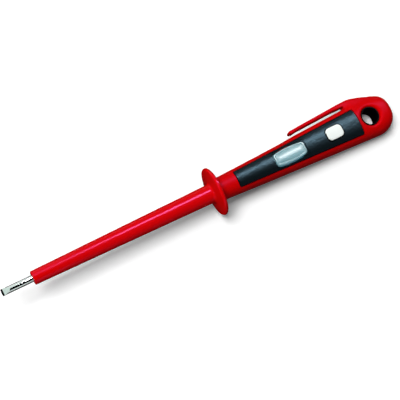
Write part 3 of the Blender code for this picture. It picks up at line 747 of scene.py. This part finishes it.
def clip_field(p):
    x, y, z = np.moveaxis(p, -1, 0)
    outside, half_z = flow(x, clip_outside), flow(x, clip_half_depth)
    z = z + drop(x) * np.clip((x - seam_x) / drop_blend, 0.0, 1.0)
    hook = clip_nose * np.clip((clip_tip + clip_nose_length - x) / clip_nose_blend, 0.0, 1.0)
    arm_half = (outside - (slot_side(x) - hook)) / 2
    arm = oval_field(y - outside + arm_half, z, arm_half, half_z, arm_power)
    # The core runs down into the handle, and its section is squarer along the arm
    power_end = seam_x + power_blend
    power = taper(np.clip(x, seam_x, power_end), seam_x, power_end, core_power, shoulder_power)
    core_inside = np.minimum(core_reach, core_share * half_width(x))
    core_half = np.maximum(outside - core_inside, core_least) / 2
    core = oval_field(y - outside + core_half, z, core_half, half_z, power)
    rooted = eased(np.clip((x - seam_x + root_blend) / root_blend, 0.0, 1.0))
    shaped = arm + (core - arm) * rooted
    shaped = soft_max(shaped, -slot_field(x, y), slot_edge)
    shaped = soft_max(shaped, clip_tip - x, tip_round)
    return np.maximum(shaped, x - clip_x[-1])


# %% [markdown]
# ## The net over a field
# The net is the simplest way to mesh a field. Space is cut into small cubes. Each cube that
# the surface crosses gets one point, at the mean of the places where it crosses the cube's
# edges, and each crossed edge joins the points of the four cubes round it with a face. A few
# steps along the field's slope then pull every point exactly onto the surface, so the mesh is
# as smooth as the formula.

# %% Make a net
def slope_of(field, p, step=0.01):
    parts = []
    for shift in step * np.eye(3):
        parts.append((field(p + shift) - field(p - shift)) / (2 * step))
    return np.stack(parts, axis=-1)


pull_steps, least_steepness = 4, 0.05


def net_over(field, low, high, spacing):
    low, high = np.array(low, float), np.array(high, float)
    counts = np.ceil((high - low) / spacing).astype(int) + 1
    ticks = [low[i] + spacing * np.arange(counts[i]) for i in range(3)]
    values = field(np.stack(np.meshgrid(*ticks, indexing="ij"), axis=-1))
    cells = tuple(counts - 1)
    total, hits = np.zeros(cells + (3,)), np.zeros(cells)
    rings = []
    for axis in range(3):
        near = tuple(slice(None, -1) if i == axis else slice(None) for i in range(3))
        far = tuple(slice(1, None) if i == axis else slice(None) for i in range(3))
        a, b = values[near], values[far]
        crossed = np.argwhere((a < 0) != (b < 0))
        at = tuple(crossed.T)
        place = crossed.astype(float)
        place[:, axis] += a[at] / (a[at] - b[at])
        ring = []
        for j, k in ((0, 0), (-1, 0), (-1, -1), (0, -1)):
            cell = crossed.copy()
            cell[:, (axis + 1) % 3] += j
            cell[:, (axis + 2) % 3] += k
            np.add.at(total, tuple(cell.T), place)
            np.add.at(hits, tuple(cell.T), 1)
            ring.append(np.ravel_multi_index(cell.T, cells))
        ring = np.stack(ring, axis=1)
        ring[a[at] >= 0] = ring[a[at] >= 0][:, ::-1]
        rings.append(ring)
    used = hits.ravel() > 0
    number = np.cumsum(used) - 1
    points = total.reshape(-1, 3)[used] / hits.ravel()[used][:, None]
    points = low + spacing * points
    for _ in range(pull_steps):
        slope = slope_of(field, points)
        steepness = np.maximum((slope**2).sum(axis=-1), least_steepness)
        move = slope * (field(points) / steepness)[:, None]
        points = points - np.clip(move, -spacing / 2, spacing / 2)
    return points, number[np.concatenate(rings)]


# %% [markdown]
# ## Plates that follow the handle's crown
# The cover, the window and the button are all plates with an outline that is nearly a
# rectangle, rounded corners and a top that may follow the crown of the handle. One function
# makes them, and also the tools that cut their seats. Its rows of points run across the
# plate and crowd together near the ends, so that the last ones draw the round corners.

# %% Where a plate's points lie
crowd = 0.9


def spread(count):
    """Places from 0 to 1 that crowd together at both ends."""
    even = np.linspace(0.0, 1.0, count)
    waved = (1 - np.cos(math.pi * even)) / 2
    return even * (1 - crowd) + waved * crowd


def around(middle, length, grow=0.0):
    """The two ends of a plate."""
    return middle - length / 2 - grow, middle + length / 2 + grow


def size_at(size, *place):
    """A size that is either one number or a function of the place."""
    return size(*place) if callable(size) else np.full_like(place[0], size)


# %% Make a plate
def plate(name, ends, half_y, low, high, corner=0.5, edge=0.0, rows=60, columns=24):
    """A closed plate; half_y may be a function of x, and low and high of x and y."""
    start_x, end_x = ends
    xs = start_x + (end_x - start_x) * spread(rows)
    x = np.repeat(xs[:, None], columns, axis=1)
    half = size_at(half_y, x)
    from_end = np.minimum(x - start_x, end_x - x)
    short = np.clip(corner - from_end, 0.0, corner)
    inward = corner - np.sqrt(np.maximum(corner**2 - short**2, 0.0))
    y = (2 * spread(columns) - 1) * (half - inward)
    out_x, out_y = corner - from_end, corner - (half - np.abs(y))
    sunk = np.hypot(np.maximum(out_x, 0), np.maximum(out_y, 0))
    inside = corner - sunk - np.minimum(np.maximum(out_x, out_y), 0.0)
    left = np.clip(edge - inside, 0.0, edge)
    rounded = edge - np.sqrt(np.maximum(edge**2 - left**2, 0.0))
    top = np.stack([x, y, size_at(high, x, y) - rounded], axis=-1).reshape(-1, 3)
    bottom = np.stack([x, y, size_at(low, x, y)], axis=-1).reshape(-1, 3)
    count = rows * columns
    polygons = []
    for i in range(rows - 1):
        for j in range(columns - 1):
            a = i * columns + j
            b = a + columns
            polygons.append((a, b, b + 1, a + 1))
            polygons.append((count + a, count + a + 1, count + b + 1, count + b))
    rim = [i * columns for i in range(rows)]
    rim += [(rows - 1) * columns + j for j in range(1, columns)]
    rim += [i * columns + columns - 1 for i in range(rows - 2, -1, -1)]
    rim += [j for j in range(columns - 2, 0, -1)]
    for a, b in zip(rim, rim[1:] + rim[:1]):
        polygons.append((a, count + a, count + b, b))
    return close_up(new_piece(name, np.concatenate([top, bottom]), polygons))


def combine(piece, operation, *tools):
    """Takes the tools' shapes away from the piece, or joins them to it."""
    for other in tools:
        modifier = piece.modifiers.new(operation, "BOOLEAN")
        modifier.object, modifier.operation, modifier.solver = other, operation, "EXACT"
    settle(piece)
    for other in tools:
        bpy.data.objects.remove(other, do_unlink=True)
    return close_up(piece, cut_weld_reach)


# %% [markdown]
# ## The handle
# The handle is the plain form with the shoulder of the clip, the flat back and the mouth of
# the eye. The seat of the cover, the trough below it and the bore for the blade's tang have
# sharp edges, which a net would blur, so solid tools cut them afterwards. The trough's inside
# is painted dull black as painted shade, so that no red shines up through the window.

# %% Net the handle
cover_front, cover_rear = 10.2, 71.5
cover_front_half, cover_rear_half = 3.65, 6.1
seat_height, seat_corner, ledge = 2.8, 0.8, 1.0
trough_front, trough_rear, trough_depth, trough_corner = 12.2, 68.0, 3.6, 0.3
handle_box = (1.0, -9.8, -6.7), (90.2, 12.6, 7.1)
handle_spacing = 0.35
# How softly the shoulder meets the handle, from the seam to the end
softness_places, softness = (seam_x, seam_x + 4, 80.0, 84.5), (0.8, 3.2, 2.0, 0.5)


def handle_field(p):
    x, y, z = np.moveaxis(p, -1, 0)
    shoulder = np.maximum(clip_field(p), seam_x - x)
    form = soft_min(plain_handle(p), shoulder, np.interp(x, softness_places, softness))
    form = soft_max(form, nose_x - x, nose_edge)
    form = soft_max(form, -back_flat - z, back_edge)
    return soft_max(form, eye_radius - np.hypot(x - eye_x, y), eye_mouth)


net = net_over(handle_field, *handle_box, handle_spacing)
handle = new_piece("handle_shell", *net)
print("The handle's net has", len(net[0]), "points")

# %% Cut the handle's seats
# Both tops lie above the handle, and at two heights, so that no two tools share a face
outer_top, inner_top = 9.0, 8.0
bore_overrun, spigot_play = 2.0, 0.6
bore_start, bore_end = nose_x - bore_overrun, trough_front + bore_overrun
bore_step = spigot_end + spigot_play


def cover_half(x, grow=0.0):
    return taper(x, cover_front, cover_rear, cover_front_half, cover_rear_half) + grow


def trough_half(x):
    return cover_half(x, -ledge)


seat_ends = (cover_front - clearance, cover_rear + clearance)
seat_size = (seat_ends, lambda x: cover_half(x, clearance), seat_height, outer_top)
seat = plate("seat_tool", *seat_size, seat_corner)
trough_size = ((trough_front, trough_rear), trough_half, -trough_depth, inner_top)
trough = plate("trough_tool", *trough_size, trough_corner)
spigot_bore = spigot_radius + clearance
bore_outline = [(bore_start, 0.0), (bore_start, spigot_bore), (bore_step, spigot_bore)]
bore_outline += [(bore_step, bore_radius), (bore_end, bore_radius), (bore_end, 0.0)]
bore = turn_outline("bore_tool", bore_outline, red_handle, 48)
combine(handle, "DIFFERENCE", seat, trough, bore)
print("The handle after its cuts has", len(handle.data.vertices), "points")

# %% Paint shade into the trough and finish the handle
touch = 0.01


def in_shaded_trough(face):
    x, y, z = face.center
    within = trough_front - touch < x < trough_rear + touch
    within = within and abs(y) < trough_half(x) + 2 * touch
    return within and -trough_depth - touch < z < seat_height - touch


# The trough's inside gets the dull black as painted shade
dress(handle, [red_handle, black_lining_and_shade], in_shaded_trough)
stand_for(handle, "root", "red_handle", "handle_body")

# %% [markdown]
# ## The clip
# The arm bends at its root, so it is a piece of its own, although the eye sees one moulding.
# It is netted from the same field, a hundredth of a millimetre thicker, and it sinks very
# slowly into the shoulder behind the joint, so no line shows.

# %% Net the clip
overlap, arm_grown, arm_sunk = 1.6, 0.012, -0.03
arm_box = (40.5, 5.0, -2.9), (72.0, 12.6, 2.9)
arm_spacing = 0.2


def arm_field(p):
    x = p[..., 0]
    last = seam_x + overlap
    sinking = taper(np.clip(x, seam_x, last), seam_x, last, arm_grown, arm_sunk)
    return np.maximum(clip_field(p) - sinking, x - seam_x - overlap)


clip = new_piece("clip_arm", *net_over(arm_field, *arm_box, arm_spacing))
dress(clip, [red_handle])
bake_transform(clip)
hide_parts("pocket_clip")
print(clip.name, "has", len(clip.data.polygons), "faces")

# %% [markdown]
# ## The cover
# The cover closes the trough and carries the window and the button. It lies flush in its
# seat with a fine dark gap all round, and its own edges are a little rounded. The window
# lies in a shallow recess.

# %% Openings of the cover
window_x, window_length, window_width, window_corner = 36.6, 16.3, 8.2, 1.2
recess = 0.4
lens_length, lens_middle, lens_end, lens_corner, lens_gap = 14.9, 6.9, 5.3, 1.3, 0.15
button_x, button_length, button_width, button_corner = 58.9, 8.1, 6.0, 1.9


def lens_half(x, grow=0.0):
    share = np.clip((x - window_x) / (lens_length / 2), -1.0, 1.0)
    return (lens_end + (lens_middle - lens_end) * (1 - share**2)) / 2 + grow


def recess_floor(x, y):
    return crown(x, y) - recess


recess_ends = around(window_x, window_length)
recess_size = (recess_ends, window_width / 2, recess_floor, outer_top, window_corner)
recess_tool = plate("recess_tool", *recess_size, columns=30)
lens_ends = around(window_x, lens_length, clearance)
lens_size = (lens_ends, lambda x: lens_half(x, clearance + lens_gap), 0.0, inner_top)
lens_tool = plate("lens_tool", *lens_size, lens_corner)
hole_ends = around(button_x, button_length, clearance)
hole_size = (hole_ends, button_width / 2 + clearance, 0.0, inner_top)
hole_tool = plate("button_tool", *hole_size, button_corner + clearance, rows=80)
print("The cover at the window:", round(2 * float(cover_half(window_x)), 2), "mm wide")

# %% Make the cover
cover_low, cover_edge = seat_height + clearance, 0.22
cover_size = ((cover_front, cover_rear), cover_half, cover_low, crown)
cover = plate("cover", *cover_size, edge=cover_edge, rows=150, columns=44)
combine(cover, "DIFFERENCE", recess_tool, lens_tool, hole_tool)
dress(cover, [black_cover])
stand_for(cover, "root", "black_inlay", "handle_inlay")

# %% [markdown]
# ## The window
# The window is a block of hazy acrylic with a barrel outline. A rim runs round its top, and
# inside the rim the surface steps down and then swells again like a lens, which enlarges the
# lamp. The step is what draws the second bright line inside the edge. The face inside it is
# tilted a little, which moves its sheen to where the photograph shows it.

# %% Make the window
lens_sink, lens_tilt = 0.1, 0.06
rim_width, rim_step, rim_slope, rim_corner = 0.55, 0.22, 0.45, 0.8
swell_height, swell_width = 0.35, 2.2
lens_round, lens_edge = 1.0, 0.25


def lens_top(x, y):
    from_side = lens_half(x) - np.abs(y)
    from_end = lens_length / 2 - np.abs(x - window_x)
    inside = soft_min(from_side, from_end, rim_corner)
    share = np.clip((inside - rim_width) / rim_slope, 0.0, 1.0)
    step = rim_step * eased(share)
    swell = swell_height * np.clip((inside - rim_width - rim_slope) / swell_width, 0.0, 1.0)
    swell = swell * (2 - swell / swell_height)
    return crown(x, y) - lens_sink - step + swell - lens_tilt * y * share


window_size = (around(window_x, lens_length), lens_half, cover_low, lens_top)
window = plate("window", *window_size, lens_round, lens_edge, rows=130, columns=70)
dress(window, [clear_window])
stand_for(window, "root", "clear_lens", "window_lens")

# %% [markdown]
# ## The touch button
# The button is a small white key with rounded edges. Its face is dished by a tenth of a
# millimetre for the fingertip, and a flange below the cover holds it in. The stem below the
# cap is narrower, and it is painted dull black as painted shade, so that the gap round the
# cap looks deep.

# %% Make the button
button_top, button_edge = 6.4, 0.3
dish_depth, side_fall = 0.12, 0.02
flange_grow, flange_thickness = 0.7, 0.6
face_share, foot_share = 0.96, 0.72
cap_height = 0.6


def button_face(x, y):
    reach = np.hypot((x - button_x) / (button_length / 2), y / (button_width / 2))
    return button_top - dish_depth * np.clip(1 - reach**2, 0.0, 1.0) - side_fall * y * y


stem_foot, flange_foot = seat_height - flange_thickness / 2, seat_height - flange_thickness
key_size = (around(button_x, button_length), button_width / 2, stem_foot, button_face)
button = plate("button_key", *key_size, button_corner, button_edge, rows=70, columns=50)
flange_ends = around(button_x, button_length, flange_grow)
flange_size = (flange_ends, button_width / 2 + flange_grow, flange_foot, seat_height)
flange = plate("flange", *flange_size, button_corner + flange_grow, rows=40)
for vertex in button.data.vertices:
    narrowing = foot_share if vertex.co.z < seat_height else face_share
    vertex.co.x = button_x + (vertex.co.x - button_x) * narrowing
    vertex.co.y *= narrowing
combine(button, "UNION", flange)
shaded_stem_top = button_top - cap_height
# Below the cap the key gets the dull black as painted shade in the gap
dress(button, [white_button, black_lining_and_shade], lambda face: face.center.z < shaded_stem_top)
stand_for(button, "touch_button", "white_button", "touch_button")

# %% [markdown]
# ## The lining of the eye
# The eye is lined with a short black tube, which is why the hole looks so dark. It is turned
# like the sleeve, only about an upright axis, so its mesh is turned once more.

# %% Turn the lining
lining_outer, lining_inner, lining_half = 4.2, 3.75, 4.9
lip = 0.15
lining_outline = [
    *arc(lining_half - lip, lining_inner + lip, lip, 270, 360, 4),
    *arc(lining_half - lip, lining_outer - lip, lip, 0, 90, 4),
    *arc(-lining_half + lip, lining_outer - lip, lip, 90, 180, 4),
    *arc(-lining_half + lip, lining_inner + lip, lip, 180, 270, 4),
]
lining_outline.append(lining_outline[0])
lining = turn_outline("eye_lining", lining_outline, black_lining_and_shade, 96)
upright = Matrix.Rotation(math.pi / 2, 4, "Y")
lining.data.transform(Matrix.Translation((eye_x, 0, 0)) @ upright)
dress(lining, [black_lining_and_shade], sharp_degrees=turned_sharp)
stand_for(lining, "root", "black_liner", "eye_liner")

# %% [markdown]
# ## Springs with Geometry Nodes
# Two coil springs press the lamp and the button against their contacts. A coil is a circle
# that follows a path, so a spiral curve and a round section give it.

# %% The spring tree
steps_per_turn, wire_sides = 40, 12


def spring_tree():
    sizes = dict.fromkeys(("Turns", "Radius", "Wire", "Length"), "Float")
    tree, given = group_with("coil_spring", **sizes, Finish="Material")
    path = {
        "Resolution": steps_per_turn,
        "Rotations": given["Turns"],
        "Start Radius": given["Radius"],
        "End Radius": given["Radius"],
        "Height": given["Length"],
    }
    spiral = add_node(tree, "GeometryNodeCurveSpiral", path)
    half = add_node(tree, "ShaderNodeMath", {0: given["Wire"], 1: 2.0}, operation="DIVIDE")
    round_wire = {"Resolution": wire_sides, "Radius": half}
    section = add_node(tree, "GeometryNodeCurvePrimitiveCircle", round_wire)
    swept = {"Curve": spiral, "Profile Curve": section, "Fill Caps": True}
    tube = add_node(tree, "GeometryNodeCurveToMesh", swept)
    return end_tree(tree, tube, given["Finish"])


coil_spring = spring_tree()
coil_diameter, wire, coil_weld = 3.6, 0.4, 0.00001


def wind(name, turns, length):
    piece = new_piece(name, [(0, 0, 0)])
    sizes = {"Turns": turns, "Radius": coil_diameter / 2, "Wire": wire, "Length": length - wire}
    run_tree(piece, coil_spring, Finish=spring_wire, **sizes)
    piece.data.transform(Matrix.Translation((0, 0, wire / 2)))
    return close_up(piece, coil_weld)


# %% Wind both springs
strip_top, flange_low = -1.1, 2.2
button_turns, contact_turns = 3.0, 4.0
spring_foot = strip_top + clearance
button_coil_length = flange_low - clearance - spring_foot
button_spring = wind("spring_under_button", button_turns, button_coil_length)
button_spring.data.transform(Matrix.Translation((button_x, 0, spring_foot)))
dress(button_spring, [spring_wire], sharp_degrees=turned_sharp)
stand_for(button_spring, "root", "spring_steel", "button_spring")
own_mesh(button_spring)

lamp_start, lamp_length, contact_length = 26.6, 20.0, 4.1
contact_start = lamp_start + lamp_length + clearance
contact_spring = wind("spring_behind_lamp", contact_turns, contact_length)
contact_spring.data.transform(Matrix.Translation((contact_start, 0, 0)) @ upright)
dress(contact_spring, [spring_wire], sharp_degrees=turned_sharp)
stand_for(contact_spring, "root", "spring_steel", "contact_spring")

# %% [markdown]
# ## The pieces behind the window
# The lamp, its caps and electrodes, the resistor, the contact strip and the carrier keep
# their CAD shapes, because they are only seen dimly through the window. They get the finish
# of their real materials: zinc-plated caps and electrodes, an enamelled resistor with nickel
# caps and a brass strip. The carrier is pale plastic, drawn blue-grey as painted shade, since
# the lamps light it straight through the window.

# %% Finish the CAD pieces that stay
matt_zinc = moulded(
    "matt_zinc_plate", "#B4C2C6", "#A8B8BC", 0.50, 0.50, white, (3.0, 0.004), (0.4, 0.004)
)
resistor_paint = moulded(
    "resistor_enamel", "#C9A98A", "#BF9E7E", 0.45, 0.50, white, (3.0, 0.004), (0.4, 0.004)
)
finishes = {
    "lamp_glass": lamp_tube,
    "lamp_cap_front": matt_zinc,
    "lamp_cap_rear": matt_zinc,
    "lamp_electrode_front": matt_zinc,
    "lamp_electrode_rear": matt_zinc,
    "resistor_body": resistor_paint,
    "resistor_cap_front": nickel_shaft,
    "resistor_cap_rear": nickel_shaft,
    "contact_strip": brass,
    "component_carrier": carrier_with_painted_shade,
}
for node_name, finish in finishes.items():
    wear(frame["nodes"][node_name], finish)
print("CAD pieces finished:", len(finishes))

# %% [markdown]
# ## The floor
# The photograph was taken on a white sweep. Here it is a flat sheet of white paper that keeps
# the tool's shadow. To the camera, mirrors and clear plastic the paper is a tenth brighter
# and has a little light of its own, which grows with the distance, so it comes up to full
# white without more light on the tool. To all other rays it is only a quarter as bright, so
# that it doesn't light the tool from below.

# %% Floor
paper_white, paper_roughness = "#FAFAFA", 0.9
seen_gain, least_gain = 0.85, 0.25
own_light_span = {"From Min": 0.4, "From Max": 2.0, "To Min": 0.08, "To Max": 0.9}
floor_half = 3.0


def sheet(name, corners, material):
    piece = new_piece(name, corners, [(0, 1, 2, 3)])
    piece.data.materials.append(material)
    return piece


def camera_and_mirrored(tree):
    """Whether a ray comes from the camera, and whether from a mirror or clear plastic."""
    path = add_node(tree, "ShaderNodeLightPath").outputs
    either = {0: path["Is Glossy Ray"], 1: path["Is Transmission Ray"]}
    return path["Is Camera Ray"], add_node(tree, "ShaderNodeMath", either, operation="MAXIMUM")


start = {"Base Color": linear(paper_white), "Roughness": paper_roughness}
paper, tree, shader = new_surface("white_paper_sweep", start)
from_camera, mirrored = camera_and_mirrored(tree)
seen = add_node(tree, "ShaderNodeMath", {0: from_camera, 1: mirrored}, operation="MAXIMUM")
place = add_node(tree, "ShaderNodeTexCoord").outputs["Object"]
away = add_node(tree, "ShaderNodeVectorMath", {0: place}, operation="LENGTH")
faded = {"Value": away.outputs["Value"], **own_light_span}
both = {0: seen, 1: add_node(tree, "ShaderNodeMapRange", faded)}
own_light = add_node(tree, "ShaderNodeMath", both, operation="MULTIPLY")
extra = add_node(tree, "ShaderNodeMath", {0: seen, 1: seen_gain}, operation="MULTIPLY")
gain = add_node(tree, "ShaderNodeMath", {0: extra, 1: least_gain}, operation="ADD")
toned = {0: linear(paper_white)[:3], "Scale": gain}
bright = add_node(tree, "ShaderNodeVectorMath", toned, operation="SCALE")
glow = {"Emission Color": linear(white), "Emission Strength": own_light}
set_inputs(tree, shader, {"Base Color": bright, **glow})
ends = ((-1, -1), (1, -1), (1, 1), (-1, 1))
sheet("floor", [(floor_half * x, floor_half * y, 0) for x, y in ends], paper)
print("Floor:", 2 * floor_half, "m wide")

# %% [markdown]
# ## The lamps
# Four lamps do what the studio did. A large soft one high over the blade's end gives the
# shape and the soft shadow. A pale one on the clip's side lifts the upper flank, and a small
# one low in front of the blade lights the guard's face. These are hidden from reflections.
# The only lamp that glossy skins mirror is a long strip, which draws one line along the whole
# sleeve and a band along the cover.

# %% Lamps
def softbox(name, middle, size, power, lights, aim=(0.0, 0.0, 0.0)):
    """A rectangular area lamp; its longer side runs along the tool."""
    data = bpy.data.lights.new(name, "AREA")
    data.shape = "RECTANGLE"
    data.size, data.size_y = size
    data.energy = power
    lamp = add_object(name, data)
    back = (Vector(middle) - Vector(aim)).normalized()
    side = Vector((1.0, 0.0, 0.0))
    side = (side - back * side.dot(back)).normalized()
    facing = Matrix((side, back.cross(side), back)).transposed()
    lamp.matrix_world = Matrix.Translation(middle) @ facing.to_4x4()
    lamp.visible_glossy = lights == "gloss"
    lamp.visible_diffuse = lights == "matt"
    print(name, "is", round(Vector(middle).length, 2), "m away")


softbox("overhead_softbox", (-0.64, 0.46, 2.33), (1.20, 1.05), 48.0, "matt")
softbox("clip_side_fill", (-0.20, 1.15, 1.60), (1.5, 1.3), 14.0, "matt")
softbox("front_fill", (-0.85, -0.07, 0.22), (0.25, 0.25), 1.8, "matt")
softbox("long_strip", (0.95, 0.90, 1.85), (1.5, 0.45), 70.0, "gloss", aim=(0.5, 0.0, 0.0))

# %% [markdown]
# ## The world
# The studio is white, but as a light it is very dim, so that the lamps alone shape the tool.
# The camera sees it at full white. Mirrors see white only near the horizon, which is where
# the floor ends, and a dim studio above.

# %% World
horizon_rise = 0.04
mirrored_light, other_light = 0.08, 0.04

world = bpy.data.worlds.new("pale_studio")
bpy.context.scene.world = world
world.use_nodes = True
tree = world.node_tree
from_camera, mirrored = camera_and_mirrored(tree)
heading = add_node(tree, "ShaderNodeTexCoord").outputs["Object"]
rise = add_node(tree, "ShaderNodeSeparateXYZ", {"Vector": heading}).outputs["Z"]
low = add_node(tree, "ShaderNodeMath", {0: rise, 1: horizon_rise}, operation="LESS_THAN")
rim = add_node(tree, "ShaderNodeMath", {0: mirrored, 1: low}, operation="MULTIPLY")
seen = add_node(tree, "ShaderNodeMath", {0: from_camera, 1: rim}, operation="MAXIMUM")
faint = add_node(tree, "ShaderNodeMath", {0: mirrored, 1: mirrored_light}, operation="MULTIPLY")
dim = add_node(tree, "ShaderNodeMath", {0: faint, 1: other_light}, operation="ADD")
strength = add_node(tree, "ShaderNodeMath", {0: seen, 1: dim}, operation="MAXIMUM")
set_inputs(tree, tree.nodes["Background"], {"Color": linear(white), "Strength": strength})
print("World nodes:", len(tree.nodes))

# %% [markdown]
# ## Cards round the tool
# Bright metal has no colour of its own: it shows what stands round it. So photographers put
# white and black cards beside it. Two white cards make the bands along the shaft, a third one
# lights the ground flat, and a black one overhead draws the dark line between them. A dark
# card lies under the tool, because glossy edges would melt into a white ground. The cards are
# seen in reflections only, and cast no light or shadow.

# %% Place the cards
def card(name, x_range, low_edge, high_edge, colour, strength):
    """A card that only reflections see; its long edges are given as (y, z) in metres."""
    near, far = x_range
    corners = [(near, *low_edge), (far, *low_edge), (far, *high_edge), (near, *high_edge)]
    black = {"Base Color": linear("#000000"), "Specular IOR Level": 0.0}
    glow = {"Emission Color": linear(colour), "Emission Strength": strength}
    piece = sheet(name, corners, new_surface(name, {**black, **glow})[0])
    for ray in ("camera", "diffuse", "transmission", "shadow"):
        setattr(piece, "visible_" + ray, False)


card("upper_card", (-0.215, -0.045), (0.40, 0.02), (0.07, 0.28), "#F4FFFB", 1.0)
card("lower_card", (-0.215, -0.045), (-0.36, 0.06), (-0.23, 0.16), "#F4FFFB", 1.0)
card("tip_card", (-0.454, -0.204), (-0.06, 0.277), (0.16, 0.277), "#EEF8F5", 1.0)
card("black_card", (-0.200, -0.043), (-0.23, 0.16), (0.055, 0.270), "#000000", 0.0)
card("ground_card", (-0.17, 0.13), (-0.25, 0.0003), (0.10, 0.0003), "#101010", 1.0)

# %% Update the view layer
bpy.context.view_layer.update()
